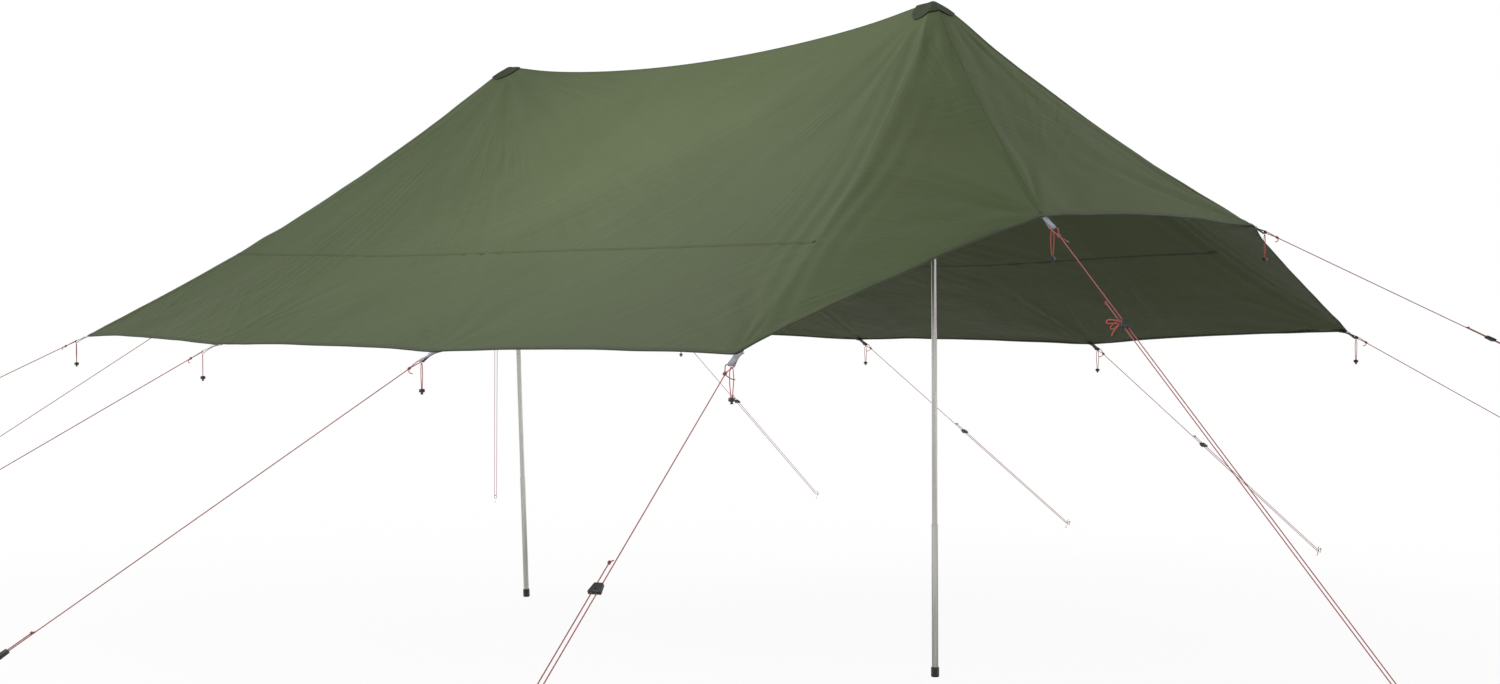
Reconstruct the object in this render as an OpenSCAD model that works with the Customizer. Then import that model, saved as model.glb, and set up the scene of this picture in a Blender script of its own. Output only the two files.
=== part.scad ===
// Two-pole tarp shelter: a twelve-sided canopy over two telescoping poles,
// held by twelve guy lines. Millimetres, +Z up, the ridge along X. The origin
// is on the ground, midway between the two poles.

/* [Canopy] */
// Height of both peaks above the ground
peak_h = 2300; // [2200:10:2400]
// Distance from the middle of the ridge to each peak
peak_x = 1196; // [1100:1:1300]
// How far the ridge sags between the peaks
ridge_sag = 85; // [40:5:120]
// Corner tie-out, distance along the ridge
corner_x = 1877; // [1750:1:2000]
// Corner tie-out, distance across the ridge
corner_y = 1599; // [1500:1:1650]
// Corner tie-out, height
corner_h = 1165; // [1050:5:1250]
// Side tie-out, distance along the ridge
side_x = 667; // [550:1:750]
// Side tie-out, distance across the ridge
side_y = 1687; // [1660:1:1750]
// Side tie-out, height
side_h = 1150; // [1050:5:1250]
// End tie-out, distance along the ridge
end_x = 2078; // [2000:1:2150]
// End tie-out, distance across the ridge
end_y = 573; // [500:1:650]
// End tie-out, height
end_h = 1533; // [1450:1:1600]
// How much lower the far edge is pulled
far_drop = 50; // [0:5:80]
// Inward bow of the side edges, as a share of the span
side_bow = 0.014; // [0.01:0.002:0.04]
// Inward bow of the end edges, as a share of the span
end_bow = 0.03; // [0.01:0.01:0.05]
// Sag of the side panels below a straight slope, as a share of the fall
side_sag = 0.34; // [0.1:0.01:0.5]
// The same at the two rear corners, where the cloth is tighter
rear_sag = 0.2; // [0.1:0.01:0.5]
// Sag of the end panels below a straight slope, as a share of the fall
end_sag = 0.12; // [0.05:0.01:0.3]
// Thickness of the canopy solid
sheet_t = 5; // [4:1:8]
// How far the cloth round a peak is held up by the pole's tip
peak_dome = 22; // [0:1:30]
// Width of the hem tape round the edge
hem_w = 14; // [12:1:30]

/* [Poles] */
// Outer diameter of the lower tube
lower_d = 22; // [21:0.5:25]
// Outer diameter of the tubes above it
upper_d = 19; // [18:0.5:19.5]
// Wall of every tube
tube_wall = 1; // [0.8:0.1:1.2]
// Height of the lower tube's top edge
lower_top = 526; // [500:1:560]
// Height of the slider's top edge
slider_top = 655; // [640:1:700]
// Length of each section above the slider
section_l = 533; // [500:1:560]
// Gap between sections, filled by the ferrule's shoulder
shoulder_t = 1.5; // [1:0.5:3]
// Outer diameter of the foot cap
foot_d = 28; // [26:1:34]
// Height of the foot cap
foot_h = 34; // [28:1:45]
// How far the rear pole's foot stands in from its peak, along the ridge
rear_lean_x = 39; // [0:1:60]
// How far the rear pole's foot stands off the ridge line
rear_lean_y = 41; // [0:1:60]

/* [Guy lines] */
// Diameter of the guy lines
cord_d = 3; // [2.5:0.5:4]
// Half the spacing of the doubled line
strand_gap = 6.5; // [6:0.5:8]
// Diameter of the ground pegs
peg_d = 9; // [7:0.5:9]
// Length of a line runner
runner_l = 30; // [24:1:40]
// Thickness of a line runner
runner_t = 10; // [8:1:14]
// Width of the webbing loops
webbing_w = 18; // [15:1:18]

/* [Hidden] */
$fn = 48;
far_corner_h = corner_h - far_drop;
far_side_h = side_h - far_drop;
// Tie-outs, anticlockwise from the near left corner: [place, peg, runner's share of the line]
TIES = [
    [[-corner_x, -corner_y, corner_h], [-3200, -3500, 0], 0.50],
    [[-side_x, -side_y, side_h], [-1480, -3400, 0], 0.50],
    [[side_x, -side_y, side_h], [430, -3500, 0], 0.67],
    [[corner_x, -corner_y, corner_h], [2630, -3300, 0], 0.42],
    [[end_x, -end_y, end_h], [3800, -1130, 0], 0.20],
    [[end_x, end_y, end_h], [4100, 3150, 0], 0.25],
    [[corner_x, corner_y, corner_h], [3000, 3550, 0], 0.50],
    [[side_x, side_y, far_side_h], [700, 3550, 0], 0.45],
    [[-side_x, side_y, far_side_h], [-850, 3590, 0], 0.46],
    [[-corner_x, corner_y, far_corner_h], [-2890, 3700, 0], 0.37],
    [[-end_x, end_y, end_h], [-4250, 2150, 0], 0.22],
    [[-end_x, -end_y, end_h], [-3800, -2200, 0], 0.68]
];
SIDE_TIES = [0, 1, 2, 3, 6, 7, 8, 9];
END_TIES = [4, 5, 10, 11];
UP = [0, 0, 1];
row_steps = 6;    // rows of the canopy between two tie-outs
ring_steps = 8;   // rings of the canopy from ridge to edge
ring_spread = 1.6;
first_ring = 0.005;
dome_reach = 75;  // distance from a peak at which its dome is highest
hem_t = 1;
hem_out = 1.5;    // how far the tape stands out past the canopy's edge
eye_s = 46;      // webbing eye, from the tie-out along the line
eye_r = 4;
webbing_t = 1.5;
loop_r = 13;     // cord loop through the eye
knot_s = 98;
peg_lift = 28;   // where a line crosses its peg, from the ground along the peg
hook_r = 11;
tail_l = 90;     // return strand beyond the runner
bore_clear = 0.6;
cord_sides = 8;
storage_drop = 90;
storage_cord_d = 2.5;
// Half of the storage loop, from the lock up: [share of the gap, share of the drop]
STORAGE_LOOP = [[-0.45, 1], [-0.6, 0.85], [-1, 0.6], [-1.1, 0.35], [-0.9, 0.15], [-0.5, 0.05]];
storage_gap = 5;
lock_r = 9;
lock_h = 11;
plunger_h = 6;
tip_r = upper_d / 2;
// The tip's round end lies just under cloth that slopes at tip_slope to the pole
tip_gap = 0.4;
tip_slope = 55;
tip_centre_h = peak_h - sheet_t - (tip_r + tip_gap) / sin(tip_slope);
tube_bore = upper_d - 2 * tube_wall;
section_pitch = section_l + shoulder_t;
middle_base = slider_top + shoulder_t;
upper_base = middle_base + section_pitch;
top_base = upper_base + section_pitch;
tip_neck = 22;
top_l = tip_centre_h - tip_neck - top_base;

function unit(a) = a / norm(a);
function mix(a, b, t) = a + (b - a) * t;

// Canopy surface. A row runs from the ridge at foot x to a point of the edge.
function edge_point(k, t) =
    let (a = TIES[k][0], b = TIES[(k + 1) % 12][0], p = mix(a, b, t),
         bow = norm(b - a) * (is_side(k) ? side_bow : end_bow))
    p + unit([ridge_x(k, p), 0, peak_h] - p) * bow * 4 * t * (1 - t);
function is_side(k) = (k < 3) || (k > 5 && k < 9);
function ridge_x(k, p) = is_side(k) ? peak_x * p.x / corner_x : (p.x > 0 ? peak_x : -peak_x);
function ridge_z(x) = peak_h - ridge_sag * (1 - pow(x / peak_x, 2));
function row_sag(k, t) =
    k == 0 ? mix(rear_sag, side_sag, t)
    : k == 8 ? mix(side_sag, rear_sag, t)
    : is_side(k) ? side_sag
    : (k == 4 || k == 10) ? end_sag
    : k == 3 ? mix(side_sag, end_sag, pow(t, 0.7))
    : k == 5 ? mix(side_sag, end_sag, pow(1 - t, 0.7))
    : k == 9 ? mix(rear_sag, end_sag, pow(t, 0.7))
    : mix(rear_sag, end_sag, pow(1 - t, 0.7));
// A dome of cloth round each peak, fuller outwards than along the ridge
function dome(x, y) =
    let (off = [abs(x) - peak_x, y], d = norm(off), outward = d > 0 ? off.x / d : 0)
    peak_dome * (0.72 + 0.28 * outward) * d / dome_reach * exp(1 - d / dome_reach);
function row_point(k, t, r) =
    let (e = edge_point(k, t),
         x = ridge_x(k, mix(TIES[k][0], TIES[(k + 1) % 12][0], t)),
         z = ridge_z(x), c = row_sag(k, t), at = [mix(x, e.x, r), e.y * r])
    [at.x, at.y, mix(z, e.z, r + c * r * (1 - r)) + dome(at.x, at.y)];
function rows_between(first, last, from) = [
    for (i = [first * row_steps : last * row_steps])
        let (k = floor(i / row_steps) % 12, t = i / row_steps - floor(i / row_steps))
        [for (j = [0 : ring_steps]) row_point(k, t, max(from, pow(j / ring_steps, ring_spread)))]
];

// A closed slab between a grid of points and the same grid moved by drop
module slab(rows, drop) {
    n = len(rows);
    m = len(rows[0]);
    base = n * m;
    top = [for (row = rows) each row];
    tops = [for (i = [0 : n - 2], j = [0 : m - 2])
        let (a = i * m + j) [a, a + 1, a + m + 1, a + m]];
    rim = concat(
        [for (j = [0 : m - 1]) j],
        [for (i = [1 : n - 1]) i * m + m - 1],
        [for (j = [m - 2 : -1 : 0]) (n - 1) * m + j],
        [for (i = [n - 2 : -1 : 1]) i * m]
    );
    faces = concat(
        [for (q = tops) each [[q[2], q[1], q[0]], [q[3], q[2], q[0]]]],
        [for (q = tops) let (u = [for (c = q) base + c]) each [[u[0], u[1], u[2]], [u[0], u[2], u[3]]]],
        [for (i = [0 : len(rim) - 1]) let (a = rim[i], b = rim[(i + 1) % len(rim)]) each
            [[a, b, a + base], [b, b + base, a + base]]]
    );
    polyhedron(concat(top, [for (p = top) p + drop]), faces, convexity = 8);
}

// A round tube along a route that lies in one plane
module tube(route, normal, d) {
    n = len(route);
    rings = [for (i = [0 : n - 1])
        let (t = unit(route[min(i + 1, n - 1)] - route[max(i - 1, 0)]), side = cross(normal, t))
        each [for (a = [0 : cord_sides - 1])
            route[i] + d / 2 * (cos(a * 360 / cord_sides) * side + sin(a * 360 / cord_sides) * normal)]];
    faces = concat(
        [[for (a = [0 : cord_sides - 1]) a]],
        [for (i = [0 : n - 2], a = [0 : cord_sides - 1])
            let (p = i * cord_sides + a, q = i * cord_sides + (a + 1) % cord_sides) each
            [[p, p + cord_sides, q + cord_sides], [p, q + cord_sides, q]]],
        [[for (a = [cord_sides - 1 : -1 : 0]) (n - 1) * cord_sides + a]]
    );
    polyhedron(rings, faces, convexity = 6);
}

// Each line's own frame: along it, across it (level), and up from it
function first_along(i) = unit(TIES[i][1] - TIES[i][0]);
function square_up(a) = unit(UP - a * a.z);
function line_end(i) = TIES[i][1] + square_up(first_along(i)) * peg_lift;
function along(i) = unit(line_end(i) - TIES[i][0]);
function up_from(i) = square_up(along(i));
function across(i) = cross(up_from(i), along(i));
function line_l(i) = norm(line_end(i) - TIES[i][0]);
function on_line(i, p) = TIES[i][0] + along(i) * p.x + across(i) * p.y + up_from(i) * p.z;
module line_frame(i) {
    u = along(i);
    v = across(i);
    w = up_from(i);
    o = TIES[i][0];
    multmatrix([[u.x, v.x, w.x, o.x], [u.y, v.y, w.y, o.y], [u.z, v.z, w.z, o.z]]) children();
}
function runner_s(i) = line_l(i) * TIES[i][2];

// The line's route in its own frame: from the knot round the webbing eye, down
// to the peg, round it, and back up through the runner
function line_route(l, runner_at) = concat(
    [[knot_s, strand_gap - cord_d - 0.4, 0], [knot_s - 14, strand_gap - cord_d - 1.6, 0]],
    [for (a = [0 : 20 : 180]) [eye_s + loop_r - 1 - loop_r * sin(a), strand_gap - loop_r * cos(a), 0]],
    [[knot_s - 14, strand_gap + 1.2, 0], [knot_s, strand_gap, 0], [runner_at, strand_gap, 0]],
    [for (a = [0 : 22.5 : 180]) [l + strand_gap * sin(a), strand_gap * cos(a), 0]],
    [[runner_at, -strand_gap, 0], [runner_at - tail_l, -strand_gap, 0]]
);
module guy_line(i) {
    color("#8c3b40")
        tube([for (p = line_route(line_l(i), runner_s(i))) on_line(i, p)], up_from(i), cord_d);
}

// A flat runner, narrow towards the canopy, with two holes along the line
module runner(i) {
    top_half = strand_gap + 4.5;
    foot_half = strand_gap + 9.5;
    cut = 2.5;
    color("#2c2e30")
        line_frame(i)
            translate([runner_s(i), 0, 0])
                difference() {
                    translate([0, 0, -runner_t / 2])
                        linear_extrude(runner_t)
                            polygon([
                                [-runner_l / 2, -top_half + cut], [-runner_l / 2, top_half - cut],
                                [-runner_l / 2 + cut, top_half], [runner_l / 2 - cut, foot_half],
                                [runner_l / 2, foot_half - cut], [runner_l / 2, -foot_half + cut],
                                [runner_l / 2 - cut, -foot_half], [-runner_l / 2 + cut, -top_half]
                            ]);
                    for (side = [-1, 1])
                        translate([-runner_l, side * strand_gap, 0])
                            rotate([0, 90, 0])
                                cylinder(d = cord_d + 2 * bore_clear, h = 2 * runner_l, $fn = 24);
                    translate([runner_l * 0.12, 0, 0])
                        cylinder(r = 2.2, h = 2 * runner_t, center = true, $fn = 24);
                }
}

// A folded strap, sewn over the hem, with an eye for the line
module webbing_loop(i) {
    line_frame(i)
        translate([0, strand_gap + webbing_w / 2, 0])
            rotate([90, 0, 0])
                linear_extrude(webbing_w)
                    difference() {
                        union() {
                            translate([eye_s, 0])
                                circle(r = eye_r + webbing_t, $fn = 40);
                            polygon([
                                [-24, -webbing_t], [-24, webbing_t], [eye_s - 18, webbing_t],
                                [eye_s - 2, eye_r + webbing_t - 0.4], [eye_s - 2, -eye_r - webbing_t + 0.4],
                                [eye_s - 18, -webbing_t]
                            ]);
                        }
                        translate([eye_s, 0])
                            circle(r = eye_r, $fn = 40);
                    }
}
module webbing(ties) {
    color("#8d9099")
        for (i = ties)
            webbing_loop(i);
}

// A hooked steel peg, shown above the ground only: its cut end touches the ground
module peg(i) {
    tilt = asin(along(i).z * -1);
    base = -peg_lift + peg_d / 2 * tan(tilt);
    hook_h = 10;
    line_frame(i)
        translate([line_l(i), 0, 0]) {
            translate([0, 0, base])
                cylinder(d = peg_d, h = hook_h - base, $fn = 32);
            translate([hook_r, 0, hook_h])
                rotate([90, 0, 0])
                    rotate_extrude(angle = 180, $fn = 48)
                        translate([hook_r, 0])
                            circle(d = peg_d, $fn = 32);
            translate([2 * hook_r, 0, 0])
                cylinder(d = peg_d, h = hook_h, $fn = 32);
        }
}
module pegs(ties) {
    color("#9a9da1")
        for (i = ties)
            peg(i);
}

// The loop that ties a packed line together hangs from the webbing eye
function storage_side(i) = unit(cross(UP, along(i)));
function storage_top(i) = on_line(i, [eye_s, strand_gap, 0]) - UP * (eye_r + webbing_t);
function storage_route(i) =
    let (o = storage_top(i), s = storage_side(i), reach = storage_drop - lock_h)
    concat(
        [for (q = STORAGE_LOOP) o + s * q[0] * storage_gap - UP * (q[1] * reach + storage_cord_d / 2)],
        [for (i = [len(STORAGE_LOOP) - 1 : -1 : 0]) let (q = STORAGE_LOOP[i])
            o - s * q[0] * storage_gap - UP * (q[1] * reach + storage_cord_d / 2)]
    );
module storage_loops(ties) {
    color("#b04a48")
        for (i = ties)
            tube(storage_route(i), cross(storage_side(i), UP), storage_cord_d);
}
module cord_locks(ties) {
    color("#1d1e1f")
        for (i = ties)
            translate(storage_top(i) - UP * (storage_drop + storage_cord_d / 2)) {
                cylinder(r = lock_r, h = lock_h, $fn = 32);
                translate([0, 0, -plunger_h])
                    cylinder(r = lock_r * 0.5, h = plunger_h + 0.5, $fn = 32);
            }
}

// Canopy panels
module near_panel() {
    color("#5c6b4b")
        slab(rows_between(0, 3, 0), [0, 0, -sheet_t]);
}
module far_panel() {
    color("#586748")
        slab(rows_between(6, 9, 0), [0, 0, -sheet_t]);
}
module front_end_panel() {
    color("#525f43")
        slab(rows_between(3, 6, first_ring), [0, 0, -sheet_t]);
}
module rear_end_panel() {
    color("#525f43")
        slab(rows_between(9, 12, first_ring), [0, 0, -sheet_t]);
}
// The hem tape is a closed band that wraps the canopy's edge
module hem_tape() {
    rows = [for (i = [0 : 12 * row_steps - 1])
        let (k = floor(i / row_steps), t = i / row_steps - k, e = row_point(k, t, 1),
             q = row_point(k, t, 0.9), inward = unit(q - e))
        [e + inward * hem_w + UP * hem_t, e - inward * hem_out + UP * hem_t,
         e - inward * hem_out - UP * (sheet_t + hem_t), e + inward * hem_w - UP * (sheet_t + hem_t)]];
    n = len(rows);
    color("#2f3827")
        polyhedron(
            [for (row = rows) each row],
            [for (i = [0 : n - 1], j = [0 : 3])
                let (a = i * 4 + j, b = i * 4 + (j + 1) % 4, c = ((i + 1) % n) * 4 + (j + 1) % 4,
                     d = ((i + 1) % n) * 4 + j) each
                [[c, b, a], [d, c, a]]],
            convexity = 8
        );
}

// The patch over a peak follows the canopy's slopes round the pole's tip. It is
// drawn for the front peak, and sag is that of the panels behind its two gores
patch_rings = [4, 10, 18, 34, 52, 70];
patch_t = 3;
tip_bump = 3;
bump_r = 15;
ridge_slope = 2 * ridge_sag / peak_x;
gore_turn = atan2(corner_y, corner_x - peak_x);
end_turn = atan2(end_y, end_x - peak_x);
function slope_to(p, sag) = (peak_h - p.z) * (1 + sag) / norm([p.x - peak_x, p.y]);
function patch_slope(a, sag) =
    let (b = min(a, 360 - a), gore = slope_to([corner_x, corner_y, corner_h], sag))
    b < gore_turn
    ? lookup(b, [
        [0, slope_to([end_x, 0, end_h], end_sag)],
        [end_turn, slope_to([end_x, end_y, end_h], end_sag)],
        [gore_turn, gore]
    ])
    : ridge_slope * (sin(b) / tan(gore_turn) - cos(b)) + gore * sin(b) / sin(gore_turn);
function patch_point(a, r, sag) =
    let (x = r * cos(a), y = r * sin(a))
    [x, y, patch_t - patch_slope(a, sag) * r + dome(peak_x + x, y) + tip_bump * exp(-pow(r / bump_r, 2))];
module peak_patch(x, turn, sag) {
    count = 32;
    rows = [for (r = patch_rings) [for (i = [0 : count - 1]) patch_point(i * 360 / count, r, sag)]];
    n = len(rows);
    top = [for (row = rows) each row];
    thick = [0, 0, -patch_t];
    base = n * count;
    function ring_faces(off, flip) = [for (i = [0 : n - 2], j = [0 : count - 1])
        let (a = off + i * count + j, b = off + i * count + (j + 1) % count, c = b + count, d = a + count)
        each flip ? [[a, d, c], [a, c, b]] : [[a, c, d], [a, b, c]]];
    color("#363d30")
        translate([x, 0, peak_h])
            rotate([0, 0, turn])
                polyhedron(
                    concat(top, [for (p = top) p + thick]),
                    concat(
                        ring_faces(0, false), ring_faces(base, true),
                        [[for (j = [count - 1 : -1 : 0]) j], [for (j = [0 : count - 1]) base + j]],
                        [for (j = [0 : count - 1])
                            let (a = (n - 1) * count + j, b = (n - 1) * count + (j + 1) % count)
                            each [[a, b, b + base], [a, b + base, a + base]]]
                    ),
                    convexity = 6
                );
}
// The cup under a peak keeps the pole's tip in place
module peak_cup(x) {
    color("#202221")
        translate([x, 0, 0])
            rotate_extrude($fn = 64)
                polygon([
                    [tip_r + 4, tip_centre_h - 22], [tip_r + 8, tip_centre_h - 22],
                    [tip_r + 8, tip_centre_h - 1.5], [tip_r + 4, tip_centre_h + 1.5]
                ]);
}

// Pole pieces stand on the foot's centre, and the rear pole leans to its peak
rear_top = [-peak_x, 0, tip_centre_h];
rear_foot = [-peak_x + rear_lean_x, rear_lean_y, 0];
rear_dir = unit(rear_top - rear_foot);
rear_lean = acos(rear_dir.z);
module front_pole() {
    translate([peak_x, 0, 0])
        children();
}
module rear_pole() {
    // Turned about the tip's centre, so that the tip keeps its place
    translate(rear_top)
        rotate(a = rear_lean, v = cross(UP, rear_dir))
            translate([0, 0, -tip_centre_h])
                children();
}
module pipe(base, length, outer) {
    translate([0, 0, base])
        difference() {
            cylinder(d = outer, h = length);
            translate([0, 0, -1])
                cylinder(d = outer - 2 * tube_wall, h = length + 2);
        }
}
module foot_cap() {
    color("#18191a")
        difference() {
            rotate_extrude()
                polygon([
                    [0, 0], [foot_d / 2 - 2, 0], [foot_d / 2, 2], [foot_d / 2, foot_h - 3],
                    [foot_d / 2 - 1.5, foot_h], [0, foot_h]
                ]);
            translate([0, 0, 6])
                cylinder(d = lower_d, h = foot_h);
        }
}
module lower_tube() {
    color("#a9a69c")
        pipe(6, lower_top - 6, lower_d);
}
module slider_tube() {
    color("#b3b0a6")
        pipe(lower_top - 326, slider_top - lower_top + 326, upper_d);
}
// The expander grips the inside of the lower tube when the pole is twisted
module expander() {
    gap = 0.5;
    plug_l = 40;
    color("#c9c7bd")
        translate([0, 0, lower_top - 326 - plug_l])
            difference() {
                union() {
                    cylinder(d = lower_d - 2 * tube_wall - 2 * gap, h = plug_l);
                    translate([0, 0, plug_l])
                        cylinder(d = tube_bore, h = 30);
                }
                translate([0, 0, -1])
                    cylinder(d = 6, h = plug_l + 40);
            }
}
module middle_tube() {
    color("#b3b0a6")
        pipe(middle_base, section_l, upper_d);
}
module upper_tube() {
    color("#b3b0a6")
        pipe(upper_base, section_l, upper_d);
}
module top_tube() {
    color("#b3b0a6")
        pipe(top_base, top_l, upper_d);
}
// A plug inside each joint, with a shoulder between the two sections
module ferrules() {
    insert = 55;
    color("#d8d6cf")
        for (base = [middle_base, upper_base, top_base]) {
            translate([0, 0, base - shoulder_t - insert])
                cylinder(d = tube_bore, h = 2 * insert + shoulder_t);
            translate([0, 0, base - shoulder_t])
                cylinder(d = upper_d - 0.6, h = shoulder_t);
        }
}
module pole_tip() {
    plug_l = 30;
    color("#1b1c1d")
        translate([0, 0, tip_centre_h]) {
            sphere(r = tip_r, $fn = 48);
            translate([0, 0, -tip_neck])
                cylinder(r = tip_r, h = tip_neck);
            translate([0, 0, -tip_neck - plug_l])
                cylinder(d = tube_bore, h = plug_l + 1);
        }
}

near_panel();
far_panel();
front_end_panel();
rear_end_panel();
hem_tape();
peak_patch(peak_x, 0, side_sag);  // front_peak_patch
peak_patch(-peak_x, 180, rear_sag);  // rear_peak_patch
peak_cup(peak_x);  // front_peak_cup
peak_cup(-peak_x);  // rear_peak_cup
front_pole() pole_tip();  // front_pole_tip
rear_pole() pole_tip();  // rear_pole_tip
front_pole() top_tube();  // front_top_tube
rear_pole() top_tube();  // rear_top_tube
front_pole() upper_tube();  // front_upper_tube
rear_pole() upper_tube();  // rear_upper_tube
front_pole() middle_tube();  // front_middle_tube
rear_pole() middle_tube();  // rear_middle_tube
front_pole() slider_tube();  // front_slider_tube
rear_pole() slider_tube();  // rear_slider_tube
front_pole() ferrules();  // front_ferrules
rear_pole() ferrules();  // rear_ferrules
front_pole() expander();  // front_expander
rear_pole() expander();  // rear_expander
front_pole() lower_tube();  // front_lower_tube
rear_pole() lower_tube();  // rear_lower_tube
front_pole() foot_cap();  // front_foot_cap
rear_pole() foot_cap();  // rear_foot_cap
webbing(SIDE_TIES);  // side_webbing
webbing(END_TIES);  // end_webbing
pegs(SIDE_TIES);  // side_pegs
pegs(END_TIES);  // end_pegs
storage_loops(SIDE_TIES);  // side_storage_loops
storage_loops(END_TIES);  // end_storage_loops
cord_locks(SIDE_TIES);  // side_cord_locks
cord_locks(END_TIES);  // end_cord_locks
guy_line(0);  // guy_line_01
guy_line(1);  // guy_line_02
guy_line(2);  // guy_line_03
guy_line(3);  // guy_line_04
guy_line(4);  // guy_line_05
guy_line(5);  // guy_line_06
guy_line(6);  // guy_line_07
guy_line(7);  // guy_line_08
guy_line(8);  // guy_line_09
guy_line(9);  // guy_line_10
guy_line(10);  // guy_line_11
guy_line(11);  // guy_line_12
runner(0);  // runner_01
runner(1);  // runner_02
runner(2);  // runner_03
runner(3);  // runner_04
runner(4);  // runner_05
runner(5);  // runner_06
runner(6);  // runner_07
runner(7);  // runner_08
runner(8);  // runner_09
runner(9);  // runner_10
runner(10);  // runner_11
runner(11);  // runner_12
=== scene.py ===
"""Looks of a two-pole tarp shelter: canopy cloth, guy lines, runners, webbing and poles, in metres.

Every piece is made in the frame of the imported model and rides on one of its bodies.
"""

import logging
import math
from dataclasses import dataclass
from enum import Enum
from typing import Callable, Iterable, Sequence

import bpy
from mathutils import Matrix, Vector, noise
from mathutils.bvhtree import BVHTree


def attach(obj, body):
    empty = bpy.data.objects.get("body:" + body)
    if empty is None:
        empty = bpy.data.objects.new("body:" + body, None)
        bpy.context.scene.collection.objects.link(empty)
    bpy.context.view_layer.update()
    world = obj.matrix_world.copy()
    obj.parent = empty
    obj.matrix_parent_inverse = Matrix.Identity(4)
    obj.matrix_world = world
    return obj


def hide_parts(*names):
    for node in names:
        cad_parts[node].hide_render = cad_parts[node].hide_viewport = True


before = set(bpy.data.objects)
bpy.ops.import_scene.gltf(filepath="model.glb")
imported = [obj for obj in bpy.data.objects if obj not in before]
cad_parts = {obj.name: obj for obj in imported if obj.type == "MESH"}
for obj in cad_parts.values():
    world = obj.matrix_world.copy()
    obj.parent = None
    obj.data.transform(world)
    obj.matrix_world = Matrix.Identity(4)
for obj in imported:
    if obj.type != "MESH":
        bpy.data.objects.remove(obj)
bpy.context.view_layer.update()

LOG = logging.getLogger("tarp_shelter")
UP = Vector((0.0, 0.0, 1.0))
SHELTER = "shelter"

# Tie-outs, anticlockwise from the near left corner: (place, peg, runner's share of the line)
TIES = (
    ((-1.877, -1.599, 1.165), (-3.200, -3.500, 0.0), 0.50),
    ((-0.667, -1.687, 1.150), (-1.480, -3.400, 0.0), 0.50),
    ((0.667, -1.687, 1.150), (0.430, -3.500, 0.0), 0.67),
    ((1.877, -1.599, 1.165), (2.630, -3.300, 0.0), 0.42),
    ((2.078, -0.573, 1.533), (3.800, -1.130, 0.0), 0.20),
    ((2.078, 0.573, 1.533), (4.100, 3.150, 0.0), 0.25),
    ((1.877, 1.599, 1.165), (3.000, 3.550, 0.0), 0.50),
    ((0.667, 1.687, 1.100), (0.700, 3.550, 0.0), 0.45),
    ((-0.667, 1.687, 1.100), (-0.850, 3.590, 0.0), 0.46),
    ((-1.877, 1.599, 1.115), (-2.890, 3.700, 0.0), 0.37),
    ((-2.078, 0.573, 1.533), (-4.250, 2.150, 0.0), 0.22),
    ((-2.078, -0.573, 1.533), (-3.800, -2.200, 0.0), 0.68),
)
NEAR_TIES = (0, 1, 2, 3, 4, 11)
SEAM_CLEAR = 0.0002  # the least gap between a seam strip and its cloth


class Side(Enum):
    """Which side of the cloth a seam strip lies on."""

    TOP = "top"
    UNDER = "under"


# ---------------------------------------------------------------- small helpers


def mix(a: float, b: float, t: float) -> float:
    """Returns the value a share t of the way from a to b."""
    return a + (b - a) * t


def smooth(x: float) -> float:
    """Returns x held to 0..1 and eased at both ends."""
    x = min(1.0, max(0.0, x))
    return x * x * (3.0 - 2.0 * x)


def bell(x: float, width: float) -> float:
    """Returns a bell curve of x with the given half-width."""
    return math.exp(-((x / width) ** 2))


def deselect() -> None:
    """Leaves edit mode and deselects everything."""
    if bpy.context.object and bpy.context.object.mode != "OBJECT":
        bpy.ops.object.mode_set(mode="OBJECT")
    bpy.ops.object.select_all(action="DESELECT")


def activate(piece: bpy.types.Object) -> bpy.types.Object:
    """Selects one piece and makes it the active one.

    Args:
        piece: the object to work on.

    Returns:
        The same object.
    """
    deselect()
    piece.select_set(True)
    bpy.context.view_layer.objects.active = piece
    return piece


def apply_modifier(piece: bpy.types.Object, kind: str, **settings: object) -> None:
    """Adds a modifier to a piece and applies it.

    Args:
        piece: the mesh object.
        kind: the modifier's type.
        settings: the modifier's own values.
    """
    activate(piece)
    modifier = piece.modifiers.new(kind.title(), kind)
    for name, value in settings.items():
        setattr(modifier, name, value)
    bpy.ops.object.modifier_apply(modifier=modifier.name)


def mesh_piece(name: str, points: Sequence[Vector], faces: Sequence[Sequence[int]]) -> bpy.types.Object:
    """Makes a smooth-shaded mesh object from points and faces.

    Args:
        name: the piece's name.
        points: the vertices, in the row frame.
        faces: the faces, as vertex numbers, seen anticlockwise from outside.

    Returns:
        The new object, linked to the scene.
    """
    mesh = bpy.data.meshes.new(name)
    mesh.from_pydata([tuple(p) for p in points], [], [tuple(f) for f in faces])
    mesh.polygons.foreach_set("use_smooth", [True] * len(mesh.polygons))
    piece = bpy.data.objects.new(name, mesh)
    bpy.context.scene.collection.objects.link(piece)
    return piece


def set_uv(piece: bpy.types.Object, places: Sequence[tuple[float, float]]) -> None:
    """Gives every face corner of a piece its place on the cloth, in metres.

    Args:
        piece: the mesh object.
        places: one (u, v) for each face corner, in order.
    """
    layer = piece.data.uv_layers.new(name="cloth")
    layer.data.foreach_set("uv", [x for place in places for x in place])


def finish_piece(piece: bpy.types.Object, body: str, material: bpy.types.Material,
                 replaces: Iterable[str] = ()) -> bpy.types.Object:
    """Dresses a piece and hands it to its body.

    Args:
        piece: the finished object.
        body: the CAD body it moves with.
        material: the finish; it is added if the piece has none yet.
        replaces: the CAD nodes that the piece stands for.

    Returns:
        The same object.
    """
    if not piece.data.materials:
        piece.data.materials.append(material)
    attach(piece, body)
    for node in replaces:
        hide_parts(node)
    LOG.info("%s on %s: %d faces", piece.name, body, len(piece.data.polygons))
    return piece


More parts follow.
